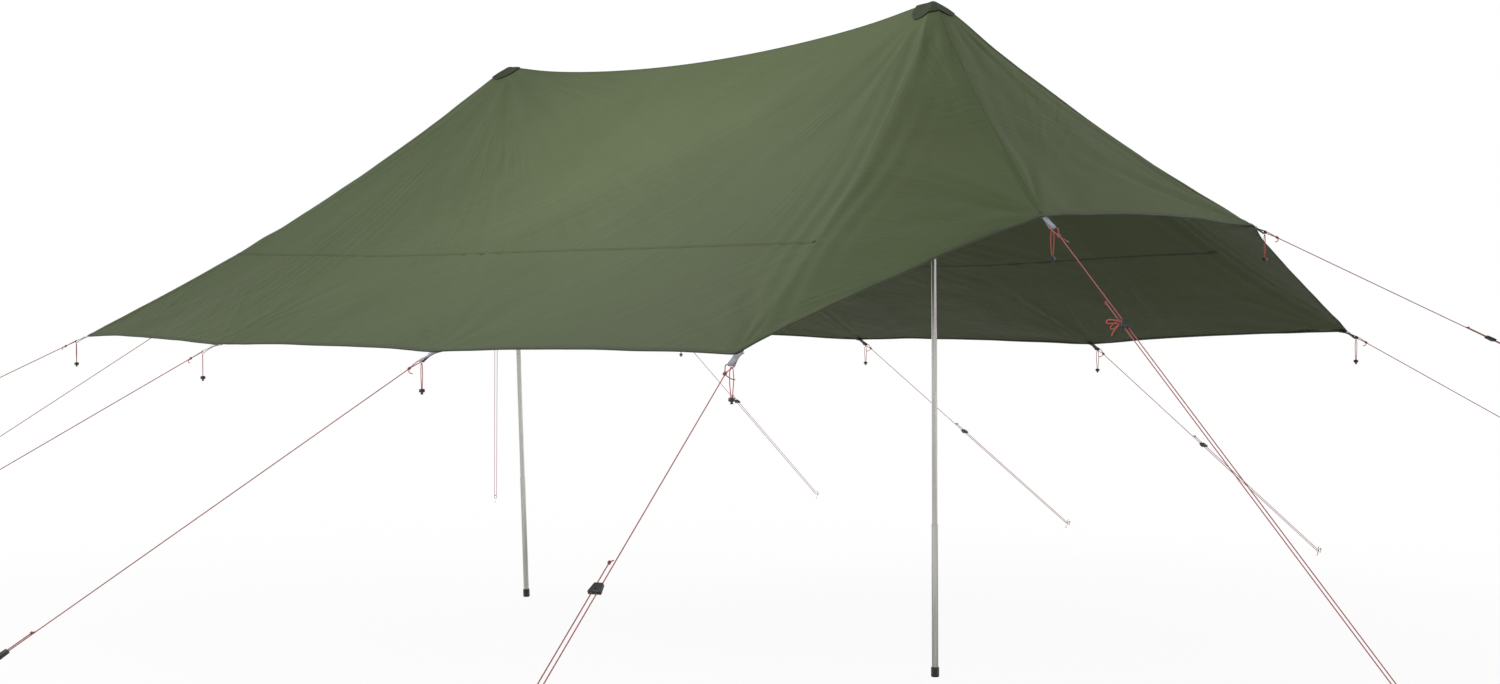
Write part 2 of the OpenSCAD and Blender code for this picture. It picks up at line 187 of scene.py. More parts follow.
def copy_to(model: bpy.types.Object, name: str, place: Matrix) -> bpy.types.Object:
    """Copies a model with its own mesh and puts the copy in place.

    Args:
        model: the piece to copy, about its own origin.
        name: the copy's name.
        place: where the copy goes, in the row frame.

    Returns:
        The copy, whose object stays at the origin.
    """
    piece = bpy.data.objects.new(name, model.data.copy())
    bpy.context.scene.collection.objects.link(piece)
    piece.data.transform(place)
    return piece


def drop(model: bpy.types.Object) -> None:
    """Removes a model once its copies are made."""
    bpy.data.objects.remove(model, do_unlink=True)


def distances(points: Sequence[Vector]) -> list[float]:
    """Returns each point's distance along the line through them."""
    run = [0.0]
    for a, b in zip(points, points[1:]):
        run.append(run[-1] + (b - a).length)
    return run


def skinned(name: str, rings: Sequence[Sequence[Vector]], place: Callable[[int, int], tuple[float, float]],
            ends: Sequence[tuple[float, float]] = ()) -> bpy.types.Object:
    """Skins a row of rings that all have the same number of points.

    Args:
        name: the piece's name.
        rings: the points of each ring.
        place: gives point j of ring i its place on the map; both may be one past the last.
        ends: each end cap's place on the map; with none, the last ring joins the first.

    Returns:
        The piece, with its map.
    """
    n, count = len(rings[0]), len(rings)
    faces: list[tuple[int, ...]] = []
    places: list[tuple[float, float]] = []
    for i in range(count - 1 if ends else count):
        for j in range(n):
            corners = ((i, j), (i, j + 1), (i + 1, j + 1), (i + 1, j))
            faces.append(tuple((a % count) * n + b % n for a, b in corners))
            places += [place(a, b) for a, b in corners]
    if ends:
        faces += [tuple(range(n - 1, -1, -1)), tuple((count - 1) * n + j for j in range(n))]
        places += [ends[0]] * n + [ends[1]] * n
    piece = mesh_piece(name, [p for ring in rings for p in ring], faces)
    set_uv(piece, places)
    return piece


def outwards(piece: bpy.types.Object) -> None:
    """Turns the faces of a piece outwards."""
    activate(piece)
    bpy.ops.object.mode_set(mode="EDIT")
    bpy.ops.mesh.select_all(action="SELECT")
    bpy.ops.mesh.normals_make_consistent(inside=False)
    bpy.ops.object.mode_set(mode="OBJECT")


def tube(name: str, route: Sequence[Vector], radius: float, sides: int = 8) -> bpy.types.Object:
    """Sweeps a round tube along a route and closes both ends.

    Args:
        name: the piece's name.
        route: the ring centres.
        radius: the tube's radius.
        sides: how many sides a ring has.

    Returns:
        The tube, with turns round it on u and metres along it on v.
    """
    count = len(route)
    tangents = [(route[min(i + 1, count - 1)] - route[max(i - 1, 0)]).normalized() for i in range(count)]
    normal = tangents[0].orthogonal().normalized()
    rings: list[list[Vector]] = []
    for i, (centre, tangent) in enumerate(zip(route, tangents)):
        if i:
            normal = (normal - tangent * normal.dot(tangent)).normalized()
        across = tangent.cross(normal)
        angles = [2.0 * math.pi * s / sides for s in range(sides)]
        rings.append([centre + (normal * math.cos(a) + across * math.sin(a)) * radius for a in angles])
    along = distances(route)
    return skinned(name, rings, lambda i, s: (s / sides, along[i]), ((0.5, along[0]), (0.5, along[-1])))


def eased(points: Sequence[Vector], steps: int) -> list[Vector]:
    """Runs a smooth curve through a few points.

    Args:
        points: the points that the curve passes through.
        steps: how many pieces each stretch is cut into.

    Returns:
        The points of the curve.
    """
    out: list[Vector] = []
    for i in range(len(points) - 1):
        a, b = points[max(i - 1, 0)], points[i]
        c, d = points[i + 1], points[min(i + 2, len(points) - 1)]
        for s in range(steps):
            t = s / steps
            out.append(0.5 * (2 * b + (c - a) * t + (2 * a - 5 * b + 4 * c - d) * t * t
                              + (3 * b - a - 3 * c + d) * t ** 3))
    return out + [points[-1]]


# ---------------------------------------------------------------- finishes


class Shader:
    """A material or group tree, with short calls that add and link its nodes."""

    def __init__(self, tree: bpy.types.NodeTree) -> None:
        """Takes the tree to build in."""
        self.tree = tree

    def put(self, socket: bpy.types.NodeSocket, value: object) -> None:
        """Sets an input to a value, or links it to an output."""
        if isinstance(value, bpy.types.NodeSocket):
            self.tree.links.new(value, socket)
        else:
            socket.default_value = value

    def add(self, kind: str, inputs: dict[int | str, object] | None = None,
            **settings: object) -> bpy.types.Node:
        """Adds a node.

        Args:
            kind: the node's type, without its ShaderNode prefix.
            inputs: its inputs by name or number, as values or sockets.
            settings: the node's own values.

        Returns:
            The node.
        """
        node = self.tree.nodes.new("ShaderNode" + kind)
        for name, value in settings.items():
            setattr(node, name, value)
        for name, value in (inputs or {}).items():
            self.put(node.inputs[name], value)
        return node

    def math(self, operation: str, *values: object) -> bpy.types.NodeSocket:
        """Adds a sum of numbers or sockets, in order, and returns its result."""
        return self.add("Math", dict(enumerate(values)), operation=operation).outputs[0]

    def group(self, tree: bpy.types.NodeTree, **values: object) -> bpy.types.Node:
        """Places a shared group with its inputs by name, and returns its node."""
        return self.add("Group", values, node_tree=tree)

    def split(self, place: bpy.types.NodeSocket) -> Sequence[bpy.types.NodeSocket]:
        """Returns the three parts of a vector."""
        return self.add("SeparateXYZ", {0: place}).outputs

    def noise(self, place: bpy.types.NodeSocket, scale: object, detail: float,
              distortion: float = 0.0) -> bpy.types.NodeSocket:
        """Adds a noise texture and returns its value."""
        inputs = {"Vector": place, "Scale": scale, "Detail": detail, "Distortion": distortion}
        return self.add("TexNoise", inputs).outputs["Fac"]

    def ramp(self, value: bpy.types.NodeSocket, low: float, high: float, start: float = 0.0,
             end: object = 1.0, kind: str = "SMOOTHSTEP") -> bpy.types.NodeSocket:
        """Adds a ramp.

        Args:
            value: what the ramp goes by.
            low: the value at which it starts.
            high: the value at which it ends.
            start: the result at the low value.
            end: the result at the high value.
            kind: how it eases.

        Returns:
            The result's socket.
        """
        inputs = {"Value": value, "From Min": low, "From Max": high, "To Min": start, "To Max": end}
        return self.add("MapRange", inputs, interpolation_type=kind).outputs["Result"]

    def blend(self, mask: bpy.types.NodeSocket, first: object, second: object) -> bpy.types.NodeSocket:
        """Mixes two colours by a mask and returns the result."""
        inputs = {"A": first, "B": second, "Factor": mask}
        return self.add("Mix", inputs, data_type="RGBA").outputs["Result"]


class SharedGroup(Shader):
    """A shared node group while it is being built."""

    def __init__(self, name: str, inputs: dict[str, float | None], outputs: Sequence[str]) -> None:
        """Starts the group.

        Args:
            name: the group's name.
            inputs: each input's name and default; None makes it a vector.
            outputs: the names of the value outputs.
        """
        super().__init__(bpy.data.node_groups.new(name, "ShaderNodeTree"))
        for key, default in inputs.items():
            kind = "NodeSocketVector" if default is None else "NodeSocketFloat"
            socket = self.tree.interface.new_socket(key, in_out="INPUT", socket_type=kind)
            if default is not None:
                socket.default_value = default
        for key in outputs:
            self.tree.interface.new_socket(key, in_out="OUTPUT", socket_type="NodeSocketFloat")
        self.given = {s.name: s for s in self.tree.nodes.new("NodeGroupInput").outputs if s.name}
        self.leave = self.tree.nodes.new("NodeGroupOutput")

    def give(self, **values: bpy.types.NodeSocket) -> bpy.types.NodeTree:
        """Links the group's outputs by name and returns its finished tree."""
        for name, value in values.items():
            self.put(self.leave.inputs[name], value)
        return self.tree


def thread_group() -> bpy.types.NodeTree:
    """Makes the weave group: over and under threads on the cloth's own map.

    Returns:
        A group with inputs Place and Pitch, and outputs Height and Shade.
    """
    group = SharedGroup("weave", {"Place": None, "Pitch": 0.001}, ("Height", "Shade"))
    waves = []
    for axis in group.split(group.given["Place"])[:2]:
        turns = group.math("DIVIDE", axis, group.given["Pitch"])
        waves.append(group.math("SINE", group.math("MULTIPLY", turns, math.pi)))
    crossing = group.math("MULTIPLY", *waves)
    return group.give(Height=group.math("MULTIPLY_ADD", crossing, 0.5, 0.5),
                      Shade=group.math("ABSOLUTE", crossing))


def crumple_group() -> bpy.types.NodeTree:
    """Makes the crumple group: soft creases and the lines of an old fold.

    Returns:
        A group with inputs Place and Fold, and outputs Height and Tone.
    """
    group = SharedGroup("crumple", {"Place": None, "Fold": 0.4}, ("Height", "Tone"))
    place = group.given["Place"]
    drawn_out = group.add("Mapping", {"Vector": place, "Scale": (1.0, 3.4, 1.0)}).outputs[0]
    creases = group.noise(drawn_out, 5.5, 4.0, distortion=0.8)
    ridged = group.math("ABSOLUTE", group.math("SUBTRACT", creases, 0.5))
    lines = []
    for axis in group.split(place)[:2]:
        cell = group.math("FRACT", group.math("DIVIDE", axis, group.given["Fold"]))
        away = group.math("ABSOLUTE", group.math("SUBTRACT", cell, 0.5))
        sharp = group.math("MINIMUM", group.math("MULTIPLY", away, 90.0), 1.0)
        lines.append(group.math("SUBTRACT", 1.0, sharp))
    patchy = group.noise(place, 1.7, 3.0)
    faint = group.math("MULTIPLY", group.math("MAXIMUM", *lines), group.math("MULTIPLY", patchy, 0.22))
    return group.give(Height=group.math("ADD", ridged, faint), Tone=patchy)


def strain_group() -> bpy.types.NodeTree:
    """Makes the strain group: fine creases that run towards a point that pulls on the cloth.

    Returns:
        A group with inputs Place, Hub, Seed and Ends, the creases' share on the end panels, and output Height.
    """
    group = SharedGroup("strain", {"Place": None, "Hub": None, "Seed": 0.0, "Ends": 1.0}, ("Height",))
    given = group.given
    off = group.add("VectorMath", {0: given["Place"], 1: given["Hub"]}, operation="SUBTRACT")
    x, y, _ = group.split(off.outputs[0])
    turn = group.math("ARCTAN2", y, x)
    away = group.math("SQRT", group.math("ADD", group.math("POWER", x, 2.0), group.math("POWER", y, 2.0)))
    shades = []
    for across, along, detail in ((30.0, 2.4, 2.0), (3.4, 1.6, 0.0)):
        parts = {0: group.math("MULTIPLY", turn, across), 1: group.math("MULTIPLY", away, along),
                 2: given["Seed"]}
        shades.append(group.noise(group.add("CombineXYZ", parts).outputs[0], 1.0, detail))
    fine, broad = shades
    near = group.math("MINIMUM", group.math("MULTIPLY", away, 1.6), 1.0)
    out = group.math("ABSOLUTE", group.split(given["Place"])[0])
    panel = group.ramp(out, 1.05, 1.55, start=1.0, end=given["Ends"])
    share = group.math("MULTIPLY", group.math("MULTIPLY", group.ramp(broad, 0.46, 0.66), near), panel)
    return group.give(Height=group.math("MULTIPLY", fine, share))


def stitch_group() -> bpy.types.NodeTree:
    """Makes the stitch group: dashes in two rows, on a strip's own map.

    Returns:
        A group with inputs Place, Middle, Gap, Pitch and Width, and output Mask.
    """
    inputs = {"Place": None, "Middle": 0.009, "Gap": 0.005, "Pitch": 0.004, "Width": 0.0006}
    group = SharedGroup("stitch_rows", inputs, ("Mask",))
    given = group.given
    along, across, _ = group.split(given["Place"])
    off = group.math("ABSOLUTE", group.math("SUBTRACT", across, given["Middle"]))
    from_row = group.math("ABSOLUTE", group.math("SUBTRACT", off, given["Gap"]))
    row = group.math("LESS_THAN", from_row, given["Width"])
    dash = group.math("LESS_THAN", group.math("FRACT", group.math("DIVIDE", along, given["Pitch"])), 0.68)
    return group.give(Mask=group.math("MULTIPLY", row, dash))


def braid_group() -> bpy.types.NodeTree:
    """Makes the braid group: crossing strands round a cord, with a pale fleck.

    Returns:
        A group with inputs Place and Pitch, and outputs Height and Fleck.
    """
    group = SharedGroup("braid", {"Place": None, "Pitch": 0.006}, ("Height", "Fleck"))
    around, along, _ = group.split(group.given["Place"])
    turns = group.math("MULTIPLY", around, 4.0)
    run = group.math("DIVIDE", along, group.given["Pitch"])
    strands = []
    for operation in ("ADD", "SUBTRACT"):
        phase = group.math("MULTIPLY", group.math(operation, turns, run), 2.0 * math.pi)
        strands.append(group.math("SINE", phase))
    one = group.math("FRACT", group.math("ADD", around, run))
    return group.give(Height=group.math("MAXIMUM", *strands), Fleck=group.math("LESS_THAN", one, 0.2))


def grain_group() -> bpy.types.NodeTree:
    """Makes the grain group: fine grain that can be drawn out along Z.

    Returns:
        A group with inputs Place, Scale and Draw, and outputs Height and Tone.
    """
    group = SharedGroup("grain", {"Place": None, "Scale": 400.0, "Draw": 1.0}, ("Height", "Tone"))
    x, y, z = group.split(group.given["Place"])
    drawn = group.add("CombineXYZ", {0: x, 1: y, 2: group.math("MULTIPLY", z, group.given["Draw"])}).outputs[0]
    made = {}
    for name, share, detail in (("Height", 1.0, 2.0), ("Tone", 0.06, 3.0)):
        made[name] = group.noise(drawn, group.math("MULTIPLY", group.given["Scale"], share), detail)
    return group.give(**made)


class Groups:
    """The shared node groups, each built once."""

    def __init__(self) -> None:
        """Builds every group."""
        self.weave = thread_group()
        self.crumple = crumple_group()
        self.strain = strain_group()
        self.stitches = stitch_group()
        self.braid = braid_group()
        self.grain = grain_group()


Colour = tuple[float, float, float]


def opaque(colour: Colour) -> tuple[float, float, float, float]:
    """Returns a colour with its alpha of one."""
    return (*colour, 1.0)


@dataclass(frozen=True)
class Finish:
    """What every finish has: its name, its colours and how it shines."""

    name: str
    colour: Colour
    second: Colour
    roughness: float
    specular: float = 0.4
    metallic: float = 0.0
    sheen: float = 0.0

    def start(self) -> tuple[bpy.types.Material, Shader, bpy.types.Node]:
        """Starts the material and sets the shader's own numbers.

        Returns:
            The material, its builder and its Principled node.
        """
        material = bpy.data.materials.new(self.name)
        material.use_nodes = True
        material.diffuse_color = opaque(self.colour)
        shade = material.node_tree.nodes["Principled BSDF"]
        shade.inputs["Roughness"].default_value = self.roughness
        shade.inputs["Specular IOR Level"].default_value = self.specular
        shade.inputs["Metallic"].default_value = self.metallic
        shade.inputs["Sheen Weight"].default_value = self.sheen
        return material, Shader(material.node_tree), shade

    def two_tone(self, build: Shader, mask: bpy.types.NodeSocket) -> bpy.types.NodeSocket:
        """Mixes the two colours by a mask.

        Args:
            build: the material's builder.
            mask: 0 for the first colour and 1 for the second.

        Returns:
            The mixed colour.
        """
        return build.blend(mask, opaque(self.colour), opaque(self.second))

    def bump(self, build: Shader, shade: bpy.types.Node,
             layers: Sequence[tuple[bpy.types.NodeSocket, float, float]]) -> None:
        """Stacks bumps into the shader's normal.

        Args:
            build: the material's builder.
            shade: the Principled node.
            layers: (height, strength, distance) from the broadest to the finest.
        """
        below: dict[str, bpy.types.NodeSocket] = {}
        for height, strength, distance in layers:
            node = build.add("Bump", {"Strength": strength, "Distance": distance, "Height": height, **below})
            below = {"Normal": node.outputs[0]}
        build.put(shade.inputs["Normal"], below["Normal"])


@dataclass(frozen=True)
class Cloth(Finish):
    """Coated canopy cloth, with a fine weave, creases and uneven tone."""

    pitch: float = 0.0012
    weave: float = 0.00012
    crease: float = 0.010
    strain: float = 0.016
    uneven: float = 0.16

    # The points that pull on the cloth, and how much creasing each sends over the side and the end panels
    HUBS = (((1.196, 0.0, 2.3), 1.0, 0.15), ((-1.196, 0.0, 2.3), 1.0, 0.15),
            ((2.078, -0.573, 1.533), 0.7, 1.0), ((2.078, 0.573, 1.533), 0.7, 1.0),
            ((-2.078, 0.573, 1.533), 0.7, 1.0), ((-2.078, -0.573, 1.533), 0.7, 1.0))

    def material(self, groups: Groups) -> bpy.types.Material:
        """Builds the material from the shared groups and returns it."""
        material, build, shade = self.start()
        place = build.add("UVMap", uv_map="cloth").outputs[0]
        crumple = build.group(groups.crumple, Place=place)
        weave = build.group(groups.weave, Place=place, Pitch=self.pitch)
        cloudy = build.math("MULTIPLY_ADD", crumple.outputs["Tone"], 1.9, -0.45)
        thread = build.math("MULTIPLY", weave.outputs["Shade"], 0.18)
        tone = build.add("Clamp", {"Value": build.math("ADD", cloudy, thread)}).outputs[0]
        build.put(shade.inputs["Base Color"], self.two_tone(build, tone))
        rough = build.math("MULTIPLY_ADD", crumple.outputs["Tone"], self.uneven,
                           self.roughness - self.uneven / 2)
        build.put(shade.inputs["Roughness"], rough)
        spot = build.add("TexCoord").outputs["Object"]
        creases: bpy.types.NodeSocket | float = 0.0
        for i, (hub, force, ends) in enumerate(self.HUBS):
            strained = build.group(groups.strain, Place=spot, Hub=hub, Seed=3.7 * i, Ends=ends)
            creases = build.math("MULTIPLY_ADD", strained.outputs["Height"], force, creases)
        self.bump(build, shade, [(creases, 0.5, self.strain), (crumple.outputs["Height"], 0.35, self.crease),
                                 (weave.outputs["Height"], 0.25, self.weave)])
        return material


@dataclass(frozen=True)
class Tape(Finish):
    """Sewn tape: a coarse weave with two rows of stitches."""

    pitch: float = 0.0016
    middle: float = 0.009
    gap: float = 0.0055
    stitch: Colour = (0.10, 0.12, 0.08)

    def material(self, groups: Groups) -> bpy.types.Material:
        """Builds the material from the shared groups and returns it."""
        material, build, shade = self.start()
        place = build.add("UVMap", uv_map="cloth").outputs[0]
        weave = build.group(groups.weave, Place=place, Pitch=self.pitch)
        stitches = build.group(groups.stitches, Place=place, Middle=self.middle, Gap=self.gap)
        woven = self.two_tone(build, weave.outputs["Shade"])
        build.put(shade.inputs["Base Color"], build.blend(stitches.outputs["Mask"], woven, opaque(self.stitch)))
        self.bump(build, shade, [(weave.outputs["Height"], 0.5, 0.0003),
                                 (stitches.outputs["Mask"], 0.6, 0.0005)])
        return material


@dataclass(frozen=True)
class Braid(Finish):
    """Braided cord with a pale reflective fleck."""

    pitch: float = 0.006

    def material(self, groups: Groups) -> bpy.types.Material:
        """Builds the material from the shared groups and returns it."""
        material, build, shade = self.start()
        place = build.add("UVMap", uv_map="cloth").outputs[0]
        braid = build.group(groups.braid, Place=place, Pitch=self.pitch)
        build.put(shade.inputs["Base Color"], self.two_tone(build, braid.outputs["Fleck"]))
        self.bump(build, shade, [(braid.outputs["Height"], 0.7, 0.0004)])
        return material


@dataclass(frozen=True)
class Grained(Finish):
    """Plastic or metal with a fine grain, drawn out along Z where it is brushed."""

    scale: float = 900.0
    draw: float = 1.0
    depth: float = 0.0001
    uneven: float = 0.15

    def material(self, groups: Groups) -> bpy.types.Material:
        """Builds the material from the shared groups and returns it."""
        material, build, shade = self.start()
        place = build.add("TexCoord").outputs["Object"]
        grain = build.group(groups.grain, Place=place, Scale=self.scale, Draw=self.draw)
        tone = build.ramp(grain.outputs["Tone"], 0.35, 0.68, kind="LINEAR")
        build.put(shade.inputs["Base Color"], self.two_tone(build, tone))
        rough = build.math("MULTIPLY_ADD", grain.outputs["Tone"], self.uneven, self.roughness - self.uneven / 2)
        build.put(shade.inputs["Roughness"], rough)
        self.bump(build, shade, [(grain.outputs["Height"], 0.25, self.depth)])
        return material


class Finishes:
    """Every material of the shelter."""

    def __init__(self) -> None:
        """Builds the materials."""
        groups = Groups()
        self.cloth = Cloth("coated_cloth", (0.0425, 0.0560, 0.0235), (0.0520, 0.0675, 0.0305), 0.66,
                           specular=0.12).material(groups)
        self.lining = Cloth("cloth_underside", (0.045, 0.055, 0.026), (0.053, 0.064, 0.032), 0.64,
                            specular=0.1).material(groups)
        self.binding = Tape("hem_binding", (0.022, 0.029, 0.014), (0.032, 0.040, 0.020), 0.72, middle=0.0065,
                            gap=0.0035, specular=0.2).material(groups)
        self.seam = Tape("seam_tape", (0.0375, 0.0495, 0.0205), (0.046, 0.060, 0.027), 0.66, middle=0.0065,
                         gap=0.0035, stitch=(0.028, 0.038, 0.015), specular=0.12).material(groups)
        self.patch = Tape("peak_patch", (0.017, 0.024, 0.011), (0.026, 0.034, 0.017), 0.75, pitch=0.0022,
                          middle=0.0, gap=0.062, stitch=(0.010, 0.014, 0.007), specular=0.15).material(groups)
        self.pale_webbing = Tape("pale_webbing", (0.17, 0.175, 0.20), (0.25, 0.255, 0.285), 0.7,
                                 middle=0.009, gap=0.0065, stitch=(0.13, 0.135, 0.155)).material(groups)
        self.under_seam = Tape("seam_tape_underside", (0.026, 0.031, 0.017), (0.032, 0.038, 0.021), 0.6,
                               middle=0.0065, gap=0.0035, stitch=(0.018, 0.022, 0.012),
                               specular=0.15).material(groups)
        self.dark_webbing = Tape("dark_webbing", (0.030, 0.040, 0.022), (0.050, 0.062, 0.036), 0.75,
                                 middle=0.009, gap=0.0065, stitch=(0.018, 0.024, 0.012)).material(groups)
        self.line = Braid("guy_line_braid", (0.22, 0.030, 0.030), (0.30, 0.12, 0.11), 0.6,
                          sheen=0.1).material(groups)
        self.loop = Braid("storage_cord_braid", (0.34, 0.035, 0.030), (0.42, 0.10, 0.085), 0.6,
                          sheen=0.1, pitch=0.005).material(groups)
        self.plastic = Grained("moulded_black", (0.012, 0.012, 0.013), (0.022, 0.022, 0.024),
                               0.45).material(groups)
        self.runner = Grained("runner_black", (0.010, 0.0105, 0.0115), (0.020, 0.021, 0.023), 0.5,
                              specular=0.25).material(groups)
        self.rubber = Grained("foot_rubber", (0.010, 0.010, 0.010), (0.030, 0.029, 0.027), 0.62,
                              scale=500.0).material(groups)
        self.steel = Grained("satin_steel", (0.40, 0.39, 0.37), (0.53, 0.515, 0.495), 0.20, metallic=1.0,
                             scale=1400.0, draw=0.04, depth=0.00004).material(groups)
        self.bright = Grained("bright_steel", (0.50, 0.495, 0.47), (0.60, 0.595, 0.57), 0.22, metallic=1.0,
                              scale=1400.0, draw=0.2, depth=0.00002).material(groups)
        self.nylon = Grained("natural_nylon", (0.55, 0.53, 0.47), (0.62, 0.60, 0.54), 0.5).material(groups)
        self.zinc = Grained("zinc_plate", (0.40, 0.40, 0.39), (0.52, 0.52, 0.50), 0.4, metallic=1.0,
                            scale=700.0).material(groups)


# ---------------------------------------------------------------- the canopy


@dataclass(frozen=True)
class CanopyShape:
    """The canopy's plain surface and the folds that its tension makes."""

    peak_h: float = 2.300
    peak_x: float = 1.196
    ridge_sag: float = 0.085
    corner_x: float = 1.877
    side_bow: float = 0.014
    end_bow: float = 0.03
    side_sag: float = 0.34
    rear_sag: float = 0.2
    end_sag: float = 0.12
    peak_dome: float = 0.022
    dome_reach: float = 0.075

    def is_side(self, k: int) -> bool:
        """Returns whether stretch k of the edge belongs to a side panel."""
        return k < 3 or 5 < k < 9

    def ridge_x(self, k: int, x: float) -> float:
        """Returns where a row that ends at x starts on the ridge."""
        if self.is_side(k):
            return self.peak_x * x / self.corner_x
        return math.copysign(self.peak_x, x)

    def ridge_z(self, x: float) -> float:
        """Returns the ridge's height at x."""
        return self.peak_h - self.ridge_sag * (1.0 - (x / self.peak_x) ** 2)

    def row_sag(self, k: int, t: float) -> float:
        """Returns how much a row hangs below a straight slope."""
        if k == 0:
            return mix(self.rear_sag, self.side_sag, t)
        if k == 8:
            return mix(self.side_sag, self.rear_sag, t)
        if self.is_side(k):
            return self.side_sag
        if k in (4, 10):
            return self.end_sag
        corner = self.side_sag if k < 6 else self.rear_sag
        share = t ** 0.7 if k in (3, 9) else (1.0 - t) ** 0.7
        return mix(corner, self.end_sag, share)

    def dome(self, x: float, y: float) -> float:
        """Returns how much the pole's tip lifts the cloth round its peak."""
        out = abs(x) - self.peak_x
        d = math.hypot(out, y)
        outward = out / d if d > 0.0 else 0.0
        share = d / self.dome_reach
        return self.peak_dome * (0.72 + 0.28 * outward) * share * math.exp(1.0 - share)

    def plain(self, k: int, t: float, r: float) -> Vector:
        """Gives a point of the plain surface.

        Args:
            k: the stretch of edge, from 0 to 11.
            t: how far along it, from 0 to 1.
            r: how far down the row, from 0 at the ridge to 1 at the edge.

        Returns:
            The point, in the row frame.
        """
        a, b = Vector(TIES[k][0]), Vector(TIES[(k + 1) % 12][0])
        on_chord = a.lerp(b, t)
        x = self.ridge_x(k, on_chord.x)
        inward = (Vector((x, 0.0, self.peak_h)) - on_chord).normalized()
        bow = self.side_bow if self.is_side(k) else self.end_bow
        e = on_chord + inward * bow * (b - a).length * 4.0 * t * (1.0 - t)
        z = self.ridge_z(x)
        c = self.row_sag(k, t)
        px, py = mix(x, e.x, r), e.y * r
        return Vector((px, py, mix(z, e.z, r + c * r * (1.0 - r)) + self.dome(px, py)))

    def normal(self, k: int, t: float, r: float) -> Vector:
        """Returns the plain surface's upward normal."""
        h = 0.004
        t0, t1 = max(0.0, t - h), min(1.0, t + h)
        r0, r1 = max(0.02, r - h), min(1.0, max(0.02, r) + h)
        across = self.plain(k, t1, max(r, 0.02)) - self.plain(k, t0, max(r, 0.02))
        down = self.plain(k, t, r1) - self.plain(k, t, r0)
        n = across.cross(down)
        return n.normalized() if n.z > 0 else -n.normalized()

    def peaks(self) -> tuple[Vector, Vector]:
        """Returns the front and the rear peak."""
        return Vector((self.peak_x, 0.0, self.peak_h)), Vector((-self.peak_x, 0.0, self.peak_h))


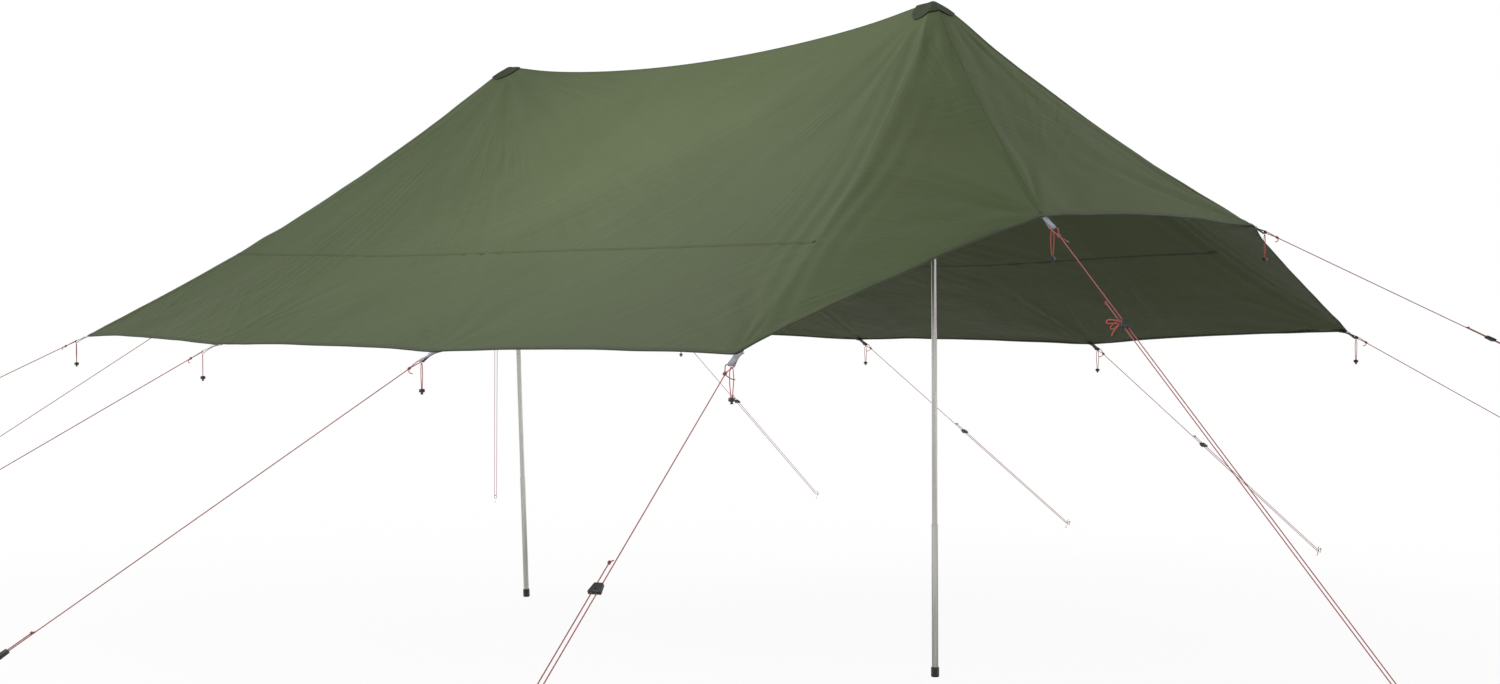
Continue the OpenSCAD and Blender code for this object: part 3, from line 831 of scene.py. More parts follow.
@dataclass(frozen=True)
class Folds:
    """The folds of the stretched cloth, as a height above the plain surface."""

    shape: CanopyShape
    tie_depth: float = 0.0036
    tie_reach: float = 0.17
    peak_depth: float = 0.0042
    peak_reach: float = 0.24
    pull_depth: float = 0.0042
    pull_width: float = 0.15
    pull_pitch: float = 0.070
    end_force: float = 1.8
    still_r: float = 0.06
    edge_depth: float = 0.0030
    level_depth: float = 0.0020
    roll_depth: float = 0.004
    tie_count: float = 13.0
    peak_count: float = 15.0

    # Which peak (0 front, 1 rear) pulls on which tie-out, and how hard
    PULLS = ((0, 3, 0.9), (0, 1, 1.0), (0, 0, 0.7), (1, 3, 0.55), (1, 2, 0.7), (1, 0, 0.8), (0, 4, 0.5),
             (0, 6, 0.9), (0, 8, 0.8), (0, 9, 0.6), (1, 6, 0.6), (1, 7, 0.7), (1, 9, 0.9), (0, 5, 0.6),
             (1, 10, 0.6), (1, 11, 0.6))

    def rings(self, p: Vector, hub: Vector, reach: float, count: float, seed: float) -> float:
        """Gives the folds that fan out from a point.

        Args:
            p: a point of the cloth.
            hub: where the folds meet.
            reach: how far out they are deepest.
            count: how many there are in half a turn.
            seed: sets the pattern apart from others.

        Returns:
            A height from about -1 to 1.
        """
        off = p - hub
        d = off.length / reach
        if d < 1e-4 or d > 8.0:
            return 0.0
        turn = math.atan2(off.y, off.x)
        drift = noise.noise(Vector((math.cos(turn) * 2.2, math.sin(turn) * 2.2, seed + d * 0.25)))
        uneven = 0.55 + 0.9 * noise.noise(Vector((math.cos(turn) * 3.1, math.sin(turn) * 3.1, seed + 7.0)))
        fade = d * math.exp(1.0 - d)
        return max(0.0, uneven) * fade * math.sin(count * turn + 7.0 * drift)

    def pull(self, p: Vector, start: Vector, end: Vector, seed: float) -> float:
        """Gives the folds along the line between two points that pull on each other.

        Args:
            p: a point of the cloth.
            start: one end of the line.
            end: the other end.
            seed: sets the pattern apart from others.

        Returns:
            A height from about -1 to 1.
        """
        way = Vector((end.x - start.x, end.y - start.y, 0.0))
        off = Vector((p.x - start.x, p.y - start.y, 0.0))
        s = off.dot(way) / way.length_squared
        if not 0.0 < s < 1.0:
            return 0.0
        q = (way.x * off.y - way.y * off.x) / way.length
        wander = 0.05 * noise.noise(Vector((s * 2.3, seed, 0.0)))
        spread = self.pull_width * (0.45 + 1.1 * s * (1.0 - s) * 2.0)
        mask = bell(q - wander, spread) * math.sin(math.pi * s) ** 0.6
        patch = 0.55 + 0.9 * noise.noise(Vector((s * 4.0, q * 6.0, seed + 3.0)))
        shift = 3.0 * noise.noise(Vector((s * 3.0, q * 3.0, seed)))
        ripple = math.sin(2.0 * math.pi * (q - wander) / self.pull_pitch + shift)
        return mask * max(0.0, patch) * ripple

    def height(self, p: Vector, r: float, run: float) -> float:
        """Gives the height of all the folds at a point.

        Args:
            p: the point of the plain surface.
            r: how far down its row it is.
            run: its place along the edge, in metres.

        Returns:
            The height along the normal, in metres.
        """
        total = 0.0
        for i, (tie, _, _) in enumerate(TIES):
            force = self.end_force if abs(tie[1]) < 1.0 else 1.0
            fan = self.rings(p, Vector(tie), self.tie_reach, self.tie_count, 11.0 * i)
            total += force * self.tie_depth * fan
        peaks = self.shape.peaks()
        for i, peak in enumerate(peaks):
            total += self.peak_depth * self.rings(p, peak, self.peak_reach, self.peak_count, 300.0 + 17.0 * i)
        for i, (peak, tie, force) in enumerate(self.PULLS):
            total += force * self.pull_depth * self.pull(p, peaks[peak], Vector(TIES[tie][0]), 5.3 * i)
        near_edge, low_down = smooth((r - 0.72) / 0.28), smooth((r - 0.35) / 0.3)
        total += self.edge_depth * near_edge * noise.noise(Vector((run * 5.2, r * 3.0, 40.0)))
        total += self.level_depth * low_down * noise.noise(Vector((p.x * 1.3, p.y * 11.0, 60.0)))
        total += self.roll_depth * noise.noise(p * 1.9) * smooth(r / 0.15)
        for peak in peaks:
            total *= smooth(((p - peak).xy.length - self.still_r) / (2.0 * self.still_r))
        return total * smooth(r / 0.05)


@dataclass
class Canopy:
    """The canopy: one sheet of cloth, with its hem, seams and peak patches."""

    shape: CanopyShape
    folds: Folds
    finishes: Finishes
    steps: int = 48
    rings: int = 80
    ease: float = 0.45
    ring_power: float = 1.08
    stretch_l: float = 1.25
    cloth_t: float = 0.0012
    hem_w: float = 0.013
    seam_y: float = 1.06
    seam_w: float = 0.013
    seam_t: float = 0.0007
    seam_sink: float = 0.0009
    patch_half: tuple[float, float] = (0.072, 0.066)
    patch_power: float = 2.6
    patch_lift: float = 0.0042
    patch_fray: float = 0.0008
    tip_bump: float = 0.006
    tip_reach: float = 0.018
    flat: tuple[float, float] = (4.10, 4.80)
    area: float = 15.9

    def column(self, i: int) -> tuple[int, float]:
        """Gives the edge stretch and share of a column.

        Args:
            i: the column's number, counted round the edge.

        Returns:
            The stretch's number and the share along it.
        """
        k, j = divmod(i % (12 * self.steps), self.steps)
        t = j / self.steps
        return k, t - self.ease * math.sin(2.0 * math.pi * t) / (2.0 * math.pi)

    def at(self, k: int, t: float, r: float) -> Vector:
        """Returns the folded surface's point."""
        p = self.shape.plain(k, t, r)
        return p + self.shape.normal(k, t, r) * self.folds.height(p, r, (k + t) * self.stretch_l)

    def cloth_place(self, k: int, p: Vector, q: Vector) -> tuple[float, float]:
        """Gives a point's place on the flat cloth.

        Args:
            k: the stretch of edge its face belongs to.
            p: the point.
            q: the start of its row on the ridge.

        Returns:
            (u, v) in metres, u across the fall of the cloth and v down it.
        """
        across = p.x if self.shape.is_side(k) else p.y
        return across + 3.0 * (k // 3), (p - q).length

    def build(self) -> None:
        """Makes and dresses the canopy, its hem, its seams and its patches."""
        count = 12 * self.steps
        points: list[Vector] = []
        for i in range(count):
            k, t = self.column(i)
            for j in range(self.rings + 1):
                points.append(self.at(k, t, (j / self.rings) ** self.ring_power))
        stride = self.rings + 1
        faces: list[tuple[int, ...]] = []
        places: list[tuple[float, float]] = []
        for i in range(count):
            k, a, b = i // self.steps, i * stride, ((i + 1) % count) * stride
            for j in range(self.rings):
                face = (a + j, a + j + 1, b + j + 1, b + j)
                faces.append(face)
                places += [self.cloth_place(k, points[v], points[a]) for v in face[:2]]
                places += [self.cloth_place(k, points[v], points[b]) for v in face[2:]]
        self.sheet = mesh_piece("canopy", points, faces)
        set_uv(self.sheet, places)
        self.close_ridge()
        self.skin = self.surface()
        LOG.info("canopy cloth %.2f square metres", sum(f.area for f in self.sheet.data.polygons))
        apply_modifier(self.sheet, "SOLIDIFY", thickness=self.cloth_t, offset=-1.0, material_offset=1,
                       material_offset_rim=0)
        self.sheet.data.materials.append(self.finishes.cloth)
        self.sheet.data.materials.append(self.finishes.lining)
        for index, face in enumerate(self.sheet.data.polygons):
            if index >= self.top_faces:
                face.material_index = 1 if face.normal.z < 0 else 0
        finish_piece(self.sheet, SHELTER, self.finishes.cloth,
                     ("near_panel", "far_panel", "front_end_panel", "rear_end_panel"))
        trims = [self.hem(), *self.seams(), *self.patches()]

    def close_ridge(self) -> None:
        """Joins the rows along the ridge and at the peaks, and turns the cloth's face up."""
        activate(self.sheet)
        bpy.ops.object.mode_set(mode="EDIT")
        bpy.ops.mesh.select_all(action="SELECT")
        bpy.ops.mesh.remove_doubles(threshold=0.0002)
        outwards(self.sheet)
        if sum(f.normal.z * f.area for f in self.sheet.data.polygons) < 0:
            self.sheet.data.flip_normals()
        self.top_faces = len(self.sheet.data.polygons)

    def surface(self) -> BVHTree:
        """Returns the cloth's top as a search tree."""
        mesh = self.sheet.data
        faces = [tuple(f.vertices) for f in mesh.polygons]
        return BVHTree.FromPolygons([v.co.copy() for v in mesh.vertices], faces)

    def laid(self, p: Vector, lift: float) -> Vector:
        """Returns p moved onto the cloth and lifted off it."""
        place, normal, _, _ = self.skin.find_nearest(p)
        if normal.z < 0:
            normal = -normal
        return place + normal * lift

    def strip(self, name: str, line: Sequence[Vector], under: bool = False) -> bpy.types.Object:
        """Sews a flat seam strip onto the cloth.

        Args:
            name: the strip's name.
            line: its middle line, near the cloth.
            under: puts the strip under the cloth.

        Returns:
            The strip, as a closed flat tube.
        """
        sign = -1.0 if under else 1.0
        lift = sign * SEAM_CLEAR - (self.cloth_t if under else 0.0)
        rows: list[list[Vector]] = []
        for i, p in enumerate(line):
            ahead = (line[min(i + 1, len(line) - 1)] - line[max(i - 1, 0)]).normalized()
            _, normal, _, _ = self.skin.find_nearest(p)
            side = ahead.cross(normal).normalized() * self.seam_w / 2.0
            top = [self.laid(p + side * f, lift + sign * self.seam_t * g)
                   for f, g in ((-1.0, 0.0), (-0.8, 0.9), (0.0, 1.0), (0.8, 0.9), (1.0, 0.0))]
            base = [self.laid(p + side * f, lift - sign * self.seam_sink) for f in (0.9, 0.0, -0.9)]
            rows.append(top + base)
        across = (0.0, 0.1, 0.5, 0.9, 1.0, 0.9, 0.5, 0.1, 0.0)
        run = distances(line)
        piece = skinned(name, rows, lambda i, j: (run[i], across[j] * self.seam_w), ((0.0, 0.0), (0.0, 0.0)))
        outwards(piece)
        return piece

    def hem(self) -> bpy.types.Object:
        """Makes the binding tape that wraps the edge and returns it."""
        profile = ((1.0, 0.0009), (0.94, 0.0016), (0.3, 0.0017), (0.0, 0.0014), (-0.09, 0.0),
                   (-0.09, -0.0016), (0.0, -0.0030), (0.3, -0.0032), (0.94, -0.0031), (1.0, -0.0024))
        rows: list[list[Vector]] = []
        edges: list[Vector] = []
        for i in range(12 * self.steps):
            k, t = self.column(i)
            edge = self.at(k, t, 1.0)
            length = (self.shape.plain(k, t, 1.0) - self.shape.plain(k, t, 0.9)).length * 10.0
            inward = (self.at(k, t, 1.0 - self.hem_w / length) - edge).normalized()
            normal = self.shape.normal(k, t, 0.995)
            rows.append([edge + inward * f * self.hem_w + normal * g for f, g in profile])
            edges.append(edge)
        run = distances([*edges, edges[0]])
        piece = skinned("hem_binding", rows, lambda i, j: (run[i], self.hem_w * profile[j % len(profile)][0]))
        outwards(piece)
        return finish_piece(piece, SHELTER, self.finishes.binding, ("hem_tape",))

    def seams(self) -> list[bpy.types.Object]:
        """Makes the level seam of each side and the four seams of the ends, and returns them."""
        made: list[bpy.types.Object] = []
        for name, first in (("near_seam", 0), ("far_seam", 6)):
            columns = [self.column(i) for i in range(first * self.steps, (first + 3) * self.steps)]
            line = [self.at(k, t, self.seam_y / abs(self.shape.plain(k, t, 1.0).y))
                    for k, t in [*columns, (first + 2, 1.0)]]
            for side in Side:
                under = side is Side.UNDER
                strip = self.strip(f"{name}_{side.value}", line, under)
                finish = self.finishes.under_seam if under else self.finishes.seam
                made.append(finish_piece(strip, SHELTER, finish))
        for name, k in (("front_left", 4), ("front_right", 5), ("rear_right", 10), ("rear_left", 11)):
            line = [self.at(k, 0.0, r / self.rings) for r in range(3, self.rings)]
            strip = self.strip(f"{name}_end_seam", line)
            made.append(finish_piece(strip, SHELTER, self.finishes.seam))
        return made

    def patches(self) -> list[bpy.types.Object]:
        """Makes the reinforcing patch over each peak, its long axis turned 45 degrees, and returns both."""
        made: list[bpy.types.Object] = []
        turns, rings, power = 96, 20, self.patch_power
        for name, peak in zip(("front", "rear"), self.shape.peaks()):
            points = [peak + UP * (self.patch_lift + self.tip_bump)]
            for j in range(1, rings + 1):
                for i in range(turns):
                    b = 2.0 * math.pi * i / turns
                    long, wide = abs(math.cos(b)) / self.patch_half[0], abs(math.sin(b)) / self.patch_half[1]
                    r = j / rings * (long ** power + wide ** power) ** (-1.0 / power)
                    a = b + math.pi / 4.0
                    spot = peak + Vector((math.cos(a) * r, math.sin(a) * r, 0.0))
                    hit = self.skin.ray_cast(spot + UP * 0.5, -UP)[0] or spot
                    bump = self.tip_bump * bell(r, self.tip_reach)
                    frayed = self.patch_fray * math.sin(9.0 * b) * (j / rings) ** 6
                    points.append(Vector((spot.x, spot.y, hit.z + self.patch_lift + bump + frayed)))
            faces: list[tuple[int, ...]] = [(0, 1 + i, 1 + (i + 1) % turns) for i in range(turns)]
            for j in range(rings - 1):
                for i in range(turns):
                    a, b = 1 + j * turns + i, 1 + j * turns + (i + 1) % turns
                    faces.append((a, a + turns, b + turns, b))
            piece = mesh_piece(f"{name}_peak_cover", points, faces)
            flat = [(math.atan2(p.x - peak.x, p.y) * self.patch_half[0], math.hypot(p.x - peak.x, p.y))
                    for p in points]
            set_uv(piece, [flat[v] for f in faces for v in f])
            apply_modifier(piece, "SOLIDIFY", thickness=0.0020, offset=0.0)
            finish_piece(piece, SHELTER, self.finishes.patch, (f"{name}_peak_patch",))
            made.append(piece)
        return made


# ---------------------------------------------------------------- lines and what is on them


@dataclass(frozen=True)
class LineFrame:
    """One guy line's own axes: along it, across it and up from it."""

    index: int
    peg_lift: float = 0.028

    @staticmethod
    def square_up(a: Vector) -> Vector:
        """Returns the direction square to a that points most upwards."""
        return (UP - a * a.z).normalized()

    @property
    def tie(self) -> Vector:
        """Returns the tie-out."""
        return Vector(TIES[self.index][0])

    @property
    def end(self) -> Vector:
        """Returns where the line crosses its peg."""
        peg = Vector(TIES[self.index][1])
        return peg + self.square_up((peg - self.tie).normalized()) * self.peg_lift

    @property
    def length(self) -> float:
        """Returns the distance from the tie-out to the peg."""
        return (self.end - self.tie).length

    @property
    def runner_at(self) -> float:
        """Returns the runner's distance along the line."""
        return self.length * TIES[self.index][2]

    @property
    def matrix(self) -> Matrix:
        """Returns the frame as a matrix."""
        u = (self.end - self.tie).normalized()
        w = self.square_up(u)
        v = w.cross(u)
        rows = [(*axis, 0.0) for axis in zip(u, v, w)]
        return Matrix.Translation(self.tie) @ Matrix((*rows, (0.0, 0.0, 0.0, 1.0)))

    def on(self, x: float, y: float, z: float = 0.0) -> Vector:
        """Returns a point given along, across and up from the line."""
        return self.matrix @ Vector((x, y, z))

    @property
    def label(self) -> str:
        """Returns the line's two-digit number."""
        return f"{self.index + 1:02d}"


@dataclass
class Rigging:
    """The guy lines with their knots, runners, webbing, storage loops and cord locks."""

    finishes: Finishes
    cord_d: float = 0.003
    gap: float = 0.0065
    eye_s: float = 0.046
    eye_r: float = 0.004
    webbing_w: float = 0.018
    webbing_t: float = 0.0015
    loop_r: float = 0.013
    knot_s: float = 0.098
    knot_l: float = 0.014
    tail_l: float = 0.090
    runner_l: float = 0.030
    runner_t: float = 0.010
    runner_top: float = 0.0045
    runner_foot: float = 0.0095
    storage_d: float = 0.0025
    storage_gap: float = 0.005
    storage_drop: float = 0.090
    lock_h: float = 0.011
    ring_step: float = 0.045
    bow_size: float = 0.68

    def route(self, at: LineFrame) -> list[Vector]:
        """Gives the line's route, from its knot round the eye and the peg to its loose end.

        Args:
            at: the line's frame.

        Returns:
            The centreline's points, in the row frame.
        """
        g, knot, back = self.gap, self.knot_s, self.knot_s - self.knot_l
        flat: list[tuple[float, float]] = [(knot, g - self.cord_d - 0.0004), (back, g - self.cord_d - 0.0016)]
        for a in range(0, 181, 10):
            s = math.radians(a)
            flat.append((self.eye_s + self.loop_r - 0.001 - self.loop_r * math.sin(s),
                         g - self.loop_r * math.cos(s)))
        flat += [(back, g + 0.0012), (knot, g)]
        stretch = at.length - knot
        steps = int(stretch / self.ring_step)
        flat += [(knot + stretch * i / steps, g) for i in range(1, steps)]
        for i in range(17):
            s = math.radians(11.25 * i)
            flat.append((at.length + g * math.sin(s), g * math.cos(s)))
        returned = at.length - at.runner_at + self.tail_l
        steps = int(returned / self.ring_step)
        flat += [(at.length - returned * i / steps, -g) for i in range(1, steps + 1)]
        return [at.on(x, y) for x, y in flat]

    def wraps(self, name: str, at: LineFrame, x: float, y: float, turns: float, spread: float,
              tail: Sequence[tuple[float, float, float]]) -> bpy.types.Object:
        """Ties a knot of cord wraps round a line.

        Args:
            name: the knot's name.
            at: the line's frame.
            x: where it sits along the line.
            y: where its middle is across the line.
            turns: how many wraps it has.
            spread: how wide it is across, to hold one strand or two.
            tail: the loose end's points, from the knot's middle.

        Returns:
            The knot.
        """
        r = self.cord_d / 2.0
        per_turn = 16
        steps = int(turns * per_turn)
        pitch = self.cord_d * 0.92
        points: list[Vector] = []
        for i in range(steps + 1):
            a = 2.0 * math.pi * i / per_turn
            points.append(Vector((x + pitch * (i / per_turn - turns / 2.0), y + (r + spread) * math.cos(a),
                                  (r + r * 0.9) * math.sin(a))))
        points += [points[-1] + Vector((r, 0.0, -r))] + [Vector((x, y, 0.0)) + Vector(p) for p in tail]
        return tube(name, eased([at.matrix @ p for p in points], 3), r * 0.96)

    def line(self, at: LineFrame) -> None:
        route = self.route(at)
        piece = tube(f"guy_line_{at.label}_cord", route, self.cord_d / 2.0)
        finish_piece(piece, SHELTER, self.finishes.line, (f"guy_line_{at.label}",))
        knot = self.wraps(f"eye_knot_{at.label}", at, self.knot_s - 0.006, self.gap - 0.0016, 3.0, 0.0026,
                          ((0.010, 0.010, -0.002), (0.014, 0.020, -0.006), (0.012, 0.030, -0.010)))
        stop = self.wraps(f"end_knot_{at.label}", at, at.runner_at - self.tail_l + 0.003, -self.gap, 2.0,
                          0.0010, ((-0.004, 0.003, 0.0), (-0.010, 0.006, -0.002)))
        for tied in (knot, stop):
            finish_piece(tied, SHELTER, self.finishes.line)
        round(distances(route)[-1], 2)

    def hang_point(self, at: LineFrame) -> Vector:
        """Returns where the storage loop hangs from the eye."""
        return at.on(self.eye_s, self.gap) - UP * (self.eye_r + self.webbing_t)

    def storage(self, at: LineFrame) -> None:
        top = self.hang_point(at)
        along = (at.end - at.tie).normalized()
        side = UP.cross(along).normalized()
        reach = self.storage_drop - self.lock_h
        half = ((-0.45, 1.0), (-0.6, 0.85), (-1.0, 0.6), (-1.1, 0.35), (-0.9, 0.15), (-0.5, 0.05))
        both = list(half) + [(-x, y) for x, y in reversed(half)]
        route = [top + side * x * self.storage_gap - UP * (y * reach + self.storage_d / 2.0) for x, y in both]
        line = eased(route, 4)
        piece = tube(f"storage_loop_{at.label}", line, self.storage_d / 2.0)
        finish_piece(piece, SHELTER, self.finishes.loop)
        round(distances(line)[-1], 3)

    def lock_model(self) -> bpy.types.Object:
        """Makes the cord lock: a barrel with a waist and a plunger below it.

        Returns:
            The model, about the barrel's base centre.
        """
        barrel = turned("lock_barrel", ((0.0050, 0.0), (0.0076, 0.0008), (0.0088, 0.0026), (0.0090, 0.0042),
                                        (0.0084, 0.0050), (0.0084, 0.0060), (0.0090, 0.0068), (0.0088, 0.0084),
                                        (0.0076, 0.0102), (0.0040, 0.0110)), 32)
        plunger = turned("lock_plunger", ((0.0030, -0.0060), (0.0042, -0.0054), (0.0045, -0.0042),
                                          (0.0032, -0.0034), (0.0032, 0.0010)), 24)
        return joined(barrel, [plunger])

    def runner_model(self) -> bpy.types.Object:
        """Makes the runner: a bevelled wedge with a recess and three holes.

        Returns:
            The model, about its middle, narrow towards the canopy.
        """
        top = self.gap + self.runner_top
        deselect()
        bpy.ops.mesh.primitive_cube_add(size=1.0)
        piece = bpy.context.object
        piece.name = "runner_model"
        bpy.ops.object.mode_set(mode="EDIT")
        bpy.ops.mesh.select_all(action="SELECT")
        bpy.ops.transform.resize(value=(self.runner_l, 2.0 * top, self.runner_t))
        select_faces(piece, lambda c, n: n.x > 0.9)
        bpy.ops.transform.resize(value=(1.0, (self.gap + self.runner_foot) / top, 1.0))
        select_faces(piece, lambda c, n: abs(n.z) > 0.9)
        bpy.ops.mesh.inset(thickness=0.0022, depth=-0.0014)
        bpy.ops.object.mode_set(mode="OBJECT")
        apply_modifier(piece, "BEVEL", width=0.0011, segments=3, limit_method="ANGLE",
                       angle_limit=math.radians(28))
        for side in (-1.0, 1.0):
            bore(piece, (0.0, side * self.gap, 0.0), self.cord_d / 2.0 + 0.0006, 2.0 * self.runner_l,
                 (0.0, math.pi / 2.0, 0.0))
        bore(piece, (self.runner_l * 0.12, 0.0, 0.0), 0.0022, 2.0 * self.runner_t, (0.0, 0.0, 0.0))
        activate(piece)
        bpy.ops.object.shade_smooth_by_angle(angle=math.radians(35))
        return piece

    def webbing_model(self) -> bpy.types.Object:
        """Makes the webbing tab: a folded strap with an eye and two bars of stitches.

        Returns:
            The model, in a line's own frame.
        """
        t = self.webbing_t / 2.0
        r = self.eye_r + t
        outline = [(-0.024, t - 0.0095), (-0.010, t - 0.0050), (0.004, t - 0.0008), (0.020, t + 0.0004),
                   (0.030, 0.0020)]
        outline += [(self.eye_s + r * math.cos(math.radians(a)), r * math.sin(math.radians(a)))
                    for a in range(125, -126, -25)]
        outline += [(0.030, -0.0020), (0.020, -t - 0.0004), (0.004, -t - 0.0018), (-0.010, -t - 0.0062),
                    (-0.024, -t - 0.0110)]
        piece = strap("webbing_model", outline, self.webbing_w, self.webbing_t, self.gap)
        lift = (t * 2.0 + 0.0006) * 1.35
        bars = [bar_stitch(x, self.gap, self.webbing_w * 0.74, lift) for x in (0.010, 0.016)]
        return joined(piece, bars)

    def bow(self, at: LineFrame) -> bpy.types.Object:
        """Makes the bow that the fifth line's loose end is tied in, and returns it."""
        x0, y0 = at.runner_at - 0.004, -self.gap - 0.004
        loops = ((0.0, 0.0, 0.004), (-0.012, -0.014, 0.004), (-0.026, -0.030, -0.004),
                 (-0.030, -0.040, -0.014), (-0.020, -0.038, -0.018), (-0.008, -0.020, -0.008),
                 (0.002, -0.004, -0.002), (0.004, 0.004, 0.004), (-0.004, 0.002, 0.008),
                 (-0.010, -0.010, -0.004), (-0.012, -0.022, -0.020), (-0.006, -0.026, -0.032),
                 (0.002, -0.018, -0.028), (0.002, -0.006, -0.010), (0.004, -0.002, -0.002),
                 (0.006, -0.012, -0.020), (0.010, -0.020, -0.040), (0.012, -0.020, -0.054))
        size = self.bow_size
        line = eased([at.on(x0 + x * size, y0 + y * size, z * size) for x, y, z in loops], 6)
        return tube("runner_05_bow", line, self.cord_d / 2.0)

    def build(self) -> None:
        """Makes everything on the twelve lines."""
        lock, runner, webbing = self.lock_model(), self.runner_model(), self.webbing_model()
        frames = [LineFrame(i) for i in range(12)]
        for at in frames:
            self.line(at)
        for at in frames:
            self.storage(at)
            base = self.hang_point(at) - UP * (self.storage_drop + self.storage_d / 2.0)
            self.dress_copy(lock, f"cord_lock_{at.label}", Matrix.Translation(base), SHELTER,
                            self.finishes.plastic)
            strap_finish = self.finishes.pale_webbing if at.index in NEAR_TIES else self.finishes.dark_webbing
            self.dress_copy(webbing, f"webbing_tab_{at.label}", at.matrix, SHELTER, strap_finish)
            body = f"runner_{at.label}"
            place = at.matrix @ Matrix.Translation((at.runner_at, 0.0, 0.0))
            piece = self.dress_copy(runner, f"{body}_slider", place, body, self.finishes.runner)
            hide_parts(body)
        finish_piece(self.bow(frames[4]), "runner_05", self.finishes.loop)
        for word, nodes in (("storage_loop_01", ("side_storage_loops", "end_storage_loops")),
                            ("cord_lock_01", ("side_cord_locks", "end_cord_locks")),
                            ("webbing_tab_01", ("side_webbing", "end_webbing"))):
            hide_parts(*nodes)
        for model in (lock, runner, webbing):
            drop(model)

    def dress_copy(self, model: bpy.types.Object, name: str, place: Matrix, body: str,
                   material: bpy.types.Material) -> bpy.types.Object:
        """Copies a model into place, dresses it and returns it."""
        return finish_piece(copy_to(model, name, place), body, material)


# ---------------------------------------------------------------- modelling steps


def select_faces(piece: bpy.types.Object, wanted: Callable[[Vector, Vector], bool]) -> None:
    """Selects faces in edit mode by their centre and normal.

    Args:
        piece: the object in edit mode.
        wanted: says whether a face with this centre and normal is selected.
    """
    bpy.ops.mesh.select_mode(type="FACE")
    bpy.ops.mesh.select_all(action="DESELECT")
    bpy.ops.object.mode_set(mode="OBJECT")
    for face in piece.data.polygons:
        face.select = wanted(face.center, face.normal)
    bpy.ops.object.mode_set(mode="EDIT")


def bore(piece: bpy.types.Object, place: tuple[float, float, float], radius: float, depth: float,
         turn: tuple[float, float, float]) -> None:
    """Drills a round hole through a piece.

    Args:
        piece: the piece to drill.
        place: the hole's middle.
        radius: the hole's radius.
        depth: the drill's length.
        turn: the drill's rotation.
    """
    deselect()
    bpy.ops.mesh.primitive_cylinder_add(vertices=24, radius=radius, depth=depth, location=place, rotation=turn)
    drill = bpy.context.object
    apply_modifier(piece, "BOOLEAN", operation="DIFFERENCE", solver="EXACT", object=drill)
    drop(drill)


def turned(name: str, profile: Sequence[tuple[float, float]], sides: int) -> bpy.types.Object:
    """Turns a round piece from its profile, ring by ring, and closes both ends.

    Args:
        name: the piece's name.
        profile: (radius, height) of each ring, from the bottom up.
        sides: how many sides a ring has.

    Returns:
        The piece, shaded smooth except at sharp edges.
    """
    deselect()
    radius, height = profile[0]
    bpy.ops.mesh.primitive_circle_add(vertices=sides, radius=radius, fill_type="NGON",
                                      location=(0.0, 0.0, height))
    piece = bpy.context.object
    piece.name = name
    bpy.ops.object.transform_apply(location=True, rotation=False, scale=False)
    bpy.ops.object.mode_set(mode="EDIT")
    bpy.ops.mesh.select_all(action="SELECT")
    for wide, high in profile[1:]:
        bpy.ops.mesh.extrude_region_move(TRANSFORM_OT_translate={"value": (0.0, 0.0, high - height)})
        bpy.ops.transform.resize(value=(wide / radius, wide / radius, 1.0), center_override=(0.0, 0.0, high))
        radius, height = wide, high
    outwards(piece)
    bpy.ops.object.shade_smooth_by_angle(angle=math.radians(40))
    return piece


def joined(piece: bpy.types.Object, others: Sequence[bpy.types.Object]) -> bpy.types.Object:
    """Joins other meshes into a piece and returns it."""
    activate(piece)
    for other in others:
        other.select_set(True)
    bpy.ops.object.join()
    return piece


def strap(name: str, outline: Sequence[tuple[float, float]], width: float, thick: float,
          middle: float) -> bpy.types.Object:
    """Folds a flat strap along an outline.

    Args:
        name: the strap's name.
        outline: (x, z) of each fold, along the strap.
        width: the strap's width, across the outline.
        thick: the strap's thickness.
        middle: the y of the strap's middle.

    Returns:
        The strap, with its length on u and its width on v.
    """
    deselect()
    (x0, z0), (x1, z1) = outline[0], outline[1]
    bpy.ops.mesh.primitive_plane_add(size=1.0, location=((x0 + x1) / 2.0, middle, (z0 + z1) / 2.0))
    piece = bpy.context.object
    piece.name = name
    piece.scale = (x1 - x0, width, 1.0)
    bpy.ops.object.transform_apply(location=True, rotation=False, scale=True)
    for vertex in piece.data.vertices:
        vertex.select = vertex.co.x > (x0 + x1) / 2.0
    for edge in piece.data.edges:
        edge.select = all(piece.data.vertices[v].select for v in edge.vertices)
    for face in piece.data.polygons:
        face.select = False
    bpy.ops.object.mode_set(mode="EDIT")
    bpy.ops.mesh.select_mode(type="EDGE")
    for (xa, za), (xb, zb) in zip(outline[1:], outline[2:]):
        bpy.ops.mesh.extrude_region_move(TRANSFORM_OT_translate={"value": (xb - xa, 0.0, zb - za)})
    outwards(piece)
    run = {}
    total = 0.0
    for i, (x, z) in enumerate(outline):
        if i:
            total += math.dist((x, z), outline[i - 1])
        run[(round(x, 6), round(z, 6))] = total
    for layer in list(piece.data.uv_layers):
        piece.data.uv_layers.remove(layer)
    places = []
    for loop in piece.data.loops:
        co = piece.data.vertices[loop.vertex_index].co
        key = min(run, key=lambda k: math.dist(k, (co.x, co.z)))
        places.append((run[key], co.y - middle + width / 2.0))
    set_uv(piece, places)
    apply_modifier(piece, "SOLIDIFY", thickness=thick, offset=0.0)
    apply_modifier(piece, "BEVEL", width=thick * 0.3, segments=2, limit_method="ANGLE",
                   angle_limit=math.radians(50))
    activate(piece)
    bpy.ops.object.shade_smooth_by_angle(angle=math.radians(50))
    return piece


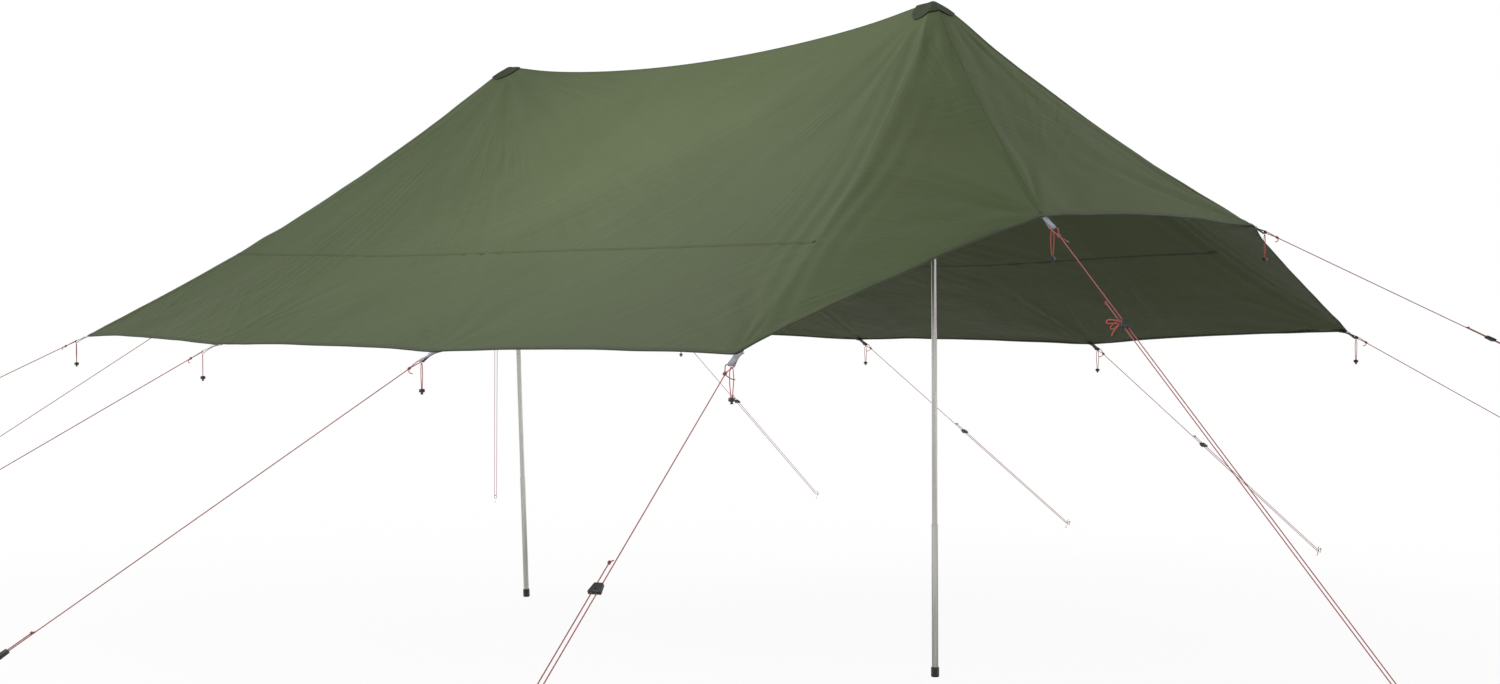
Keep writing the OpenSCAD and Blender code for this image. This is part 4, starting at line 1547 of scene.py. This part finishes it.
def bar_stitch(x: float, y: float, width: float, lift: float) -> bpy.types.Object:
    """Makes one bar of close stitches across a strap.

    Args:
        x: its place along the strap.
        y: its middle across the strap.
        width: how wide it is.
        lift: how high it stands above the strap's middle.

    Returns:
        The bar, zigzagged across the strap's top.
    """
    steps, swing = 16, 0.0014
    points = [Vector((x + (swing if i % 2 else -swing), y - width / 2.0 + width * i / steps, lift))
              for i in range(steps + 1)]
    return tube("bar_stitch", points, 0.00035, 6)


# ---------------------------------------------------------------- poles


@dataclass
class Poles:
    """The two poles and the pegs: CAD nodes that stay on show, with their finishes."""

    finishes: Finishes

    def build(self) -> None:
        """Dresses every CAD node that stays on show."""
        finish = self.finishes
        kinds = {
            "top_tube": finish.steel, "upper_tube": finish.steel, "middle_tube": finish.steel,
            "slider_tube": finish.steel, "lower_tube": finish.steel, "ferrules": finish.bright,
            "expander": finish.nylon, "pole_tip": finish.plastic, "foot_cap": finish.rubber,
            "peak_cup": finish.plastic,
        }
        for end in ("front", "rear"):
            for part, material in kinds.items():
                dress(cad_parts[f"{end}_{part}"], material)
        for node in ("side_pegs", "end_pegs"):
            dress(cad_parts[node], finish.zinc)


def dress(node: bpy.types.Object, material: bpy.types.Material) -> None:
    """Gives a CAD node its finish.

    Args:
        node: the CAD node's object.
        material: the finish for all of it.
    """
    if not node.data.materials:
        node.data.materials.append(material)
    for index in range(len(node.material_slots)):
        node.material_slots[index].material = material


# ---------------------------------------------------------------- camera and studio


@dataclass
class Studio:
    """The camera, the lights and the floor."""

    lens: float = 43.627
    place: Colour = (5.2036, -4.7925, 1.3101)
    yaw: float = 2.3683
    pitch: float = -0.0252
    roll: float = -0.0051
    floor_r: float = 60.0
    floor_drop: float = 0.0005
    floor_glow: float = 0.92
    sky_fall: float = -0.45

    def camera(self) -> None:
        """Makes the camera."""
        data = bpy.data.cameras.new("camera")
        data.sensor_width = 36.0
        data.lens = self.lens
        data.clip_end = 200.0
        camera = bpy.data.objects.new("camera", data)
        bpy.context.scene.collection.objects.link(camera)
        ahead = Vector((math.cos(self.yaw) * math.cos(self.pitch), math.sin(self.yaw) * math.cos(self.pitch),
                        math.sin(self.pitch)))
        right = Vector((math.sin(self.yaw), -math.cos(self.yaw), 0.0))
        up = right.cross(ahead)
        c, s = math.cos(self.roll), math.sin(self.roll)
        right, up = right * c + up * s, up * c - right * s
        rows = [(*axis, where) for *axis, where in zip(right, up, -ahead, self.place)]
        camera.matrix_world = Matrix((*rows, (0.0, 0.0, 0.0, 1.0)))
        bpy.context.scene.camera = camera

    def lights(self) -> None:
        """Makes the sky, the two soft suns and the lamp over the ridge."""
        world = bpy.data.worlds.new("studio")
        world.use_nodes = True
        sky = world.node_tree.nodes["Background"]
        sky.inputs["Color"].default_value = (1.0, 1.0, 1.0, 1.0)
        build = Shader(world.node_tree)
        height = build.split(build.add("TexCoord").outputs["Generated"])[2]
        lit = build.math("MULTIPLY_ADD", height, self.sky_fall, 1.0)
        seen = build.add("LightPath").outputs["Is Camera Ray"]
        build.put(sky.inputs["Strength"], build.math("MAXIMUM", seen, lit))
        bpy.context.scene.world = world
        self.lamp("key", "SUN", 2.8, Vector((-0.55, -0.72, 0.50)), Vector(), 25.0)
        self.lamp("end_fill", "SUN", 2.4, Vector((0.60, 0.75, 0.35)), Vector(), 35.0)
        self.lamp("ridge_light", "AREA", 20.0, Vector((0.15, -1.2, 2.95)), Vector((0.15, -0.6, 1.9)), 0.9)
        bpy.context.scene.view_settings.view_transform = "Standard"

    @staticmethod
    def lamp(name: str, kind: str, energy: float, place: Vector, target: Vector, size: float) -> None:
        """Makes a lamp that the camera can't see.

        Args:
            name: the lamp's name.
            kind: SUN or AREA.
            energy: its strength.
            place: where it stands, or the way to it for a sun.
            target: what it points at.
            size: a sun's width in degrees, or an area lamp's side in metres.
        """
        data = bpy.data.lights.new(name, kind)
        data.energy = energy
        if kind == "SUN":
            data.angle = math.radians(size)
        else:
            data.size = size
        lamp = bpy.data.objects.new(name, data)
        lamp.location = place
        lamp.rotation_euler = (place - target).to_track_quat("Z", "Y").to_euler()
        lamp.visible_camera = False
        bpy.context.scene.collection.objects.link(lamp)

    def floor(self) -> None:
        """Makes the pale floor."""
        deselect()
        bpy.ops.mesh.primitive_circle_add(vertices=96, radius=self.floor_r, fill_type="NGON",
                                          location=(0.0, 0.0, -self.floor_drop))
        floor = bpy.context.object
        floor.name = "floor"
        material = bpy.data.materials.new("pale_floor")
        material.use_nodes = True
        shade = material.node_tree.nodes["Principled BSDF"]
        shade.inputs["Base Color"].default_value = (0.70, 0.70, 0.69, 1.0)
        shade.inputs["Roughness"].default_value = 0.95
        shade.inputs["Specular IOR Level"].default_value = 0.1
        build = Shader(material.node_tree)
        seen = build.math("MULTIPLY", build.add("LightPath").outputs["Is Camera Ray"], self.floor_glow)
        blend = build.add("MixShader", {0: seen, 1: shade.outputs[0], 2: build.add("Emission").outputs[0]})
        build.put(material.node_tree.nodes["Material Output"].inputs["Surface"], blend.outputs[0])
        floor.data.materials.append(material)


def main() -> None:
    """Builds the studio and the shelter in order and reports each piece."""
    logging.basicConfig(level=logging.INFO, format="%(message)s")
    studio = Studio()
    studio.camera()
    finishes = Finishes()
    Rigging(finishes).build()
    shape = CanopyShape()
    Canopy(shape, Folds(shape), finishes).build()
    Poles(finishes).build()
    studio.lights()
    studio.floor()


if __name__ == "__main__":
    main()
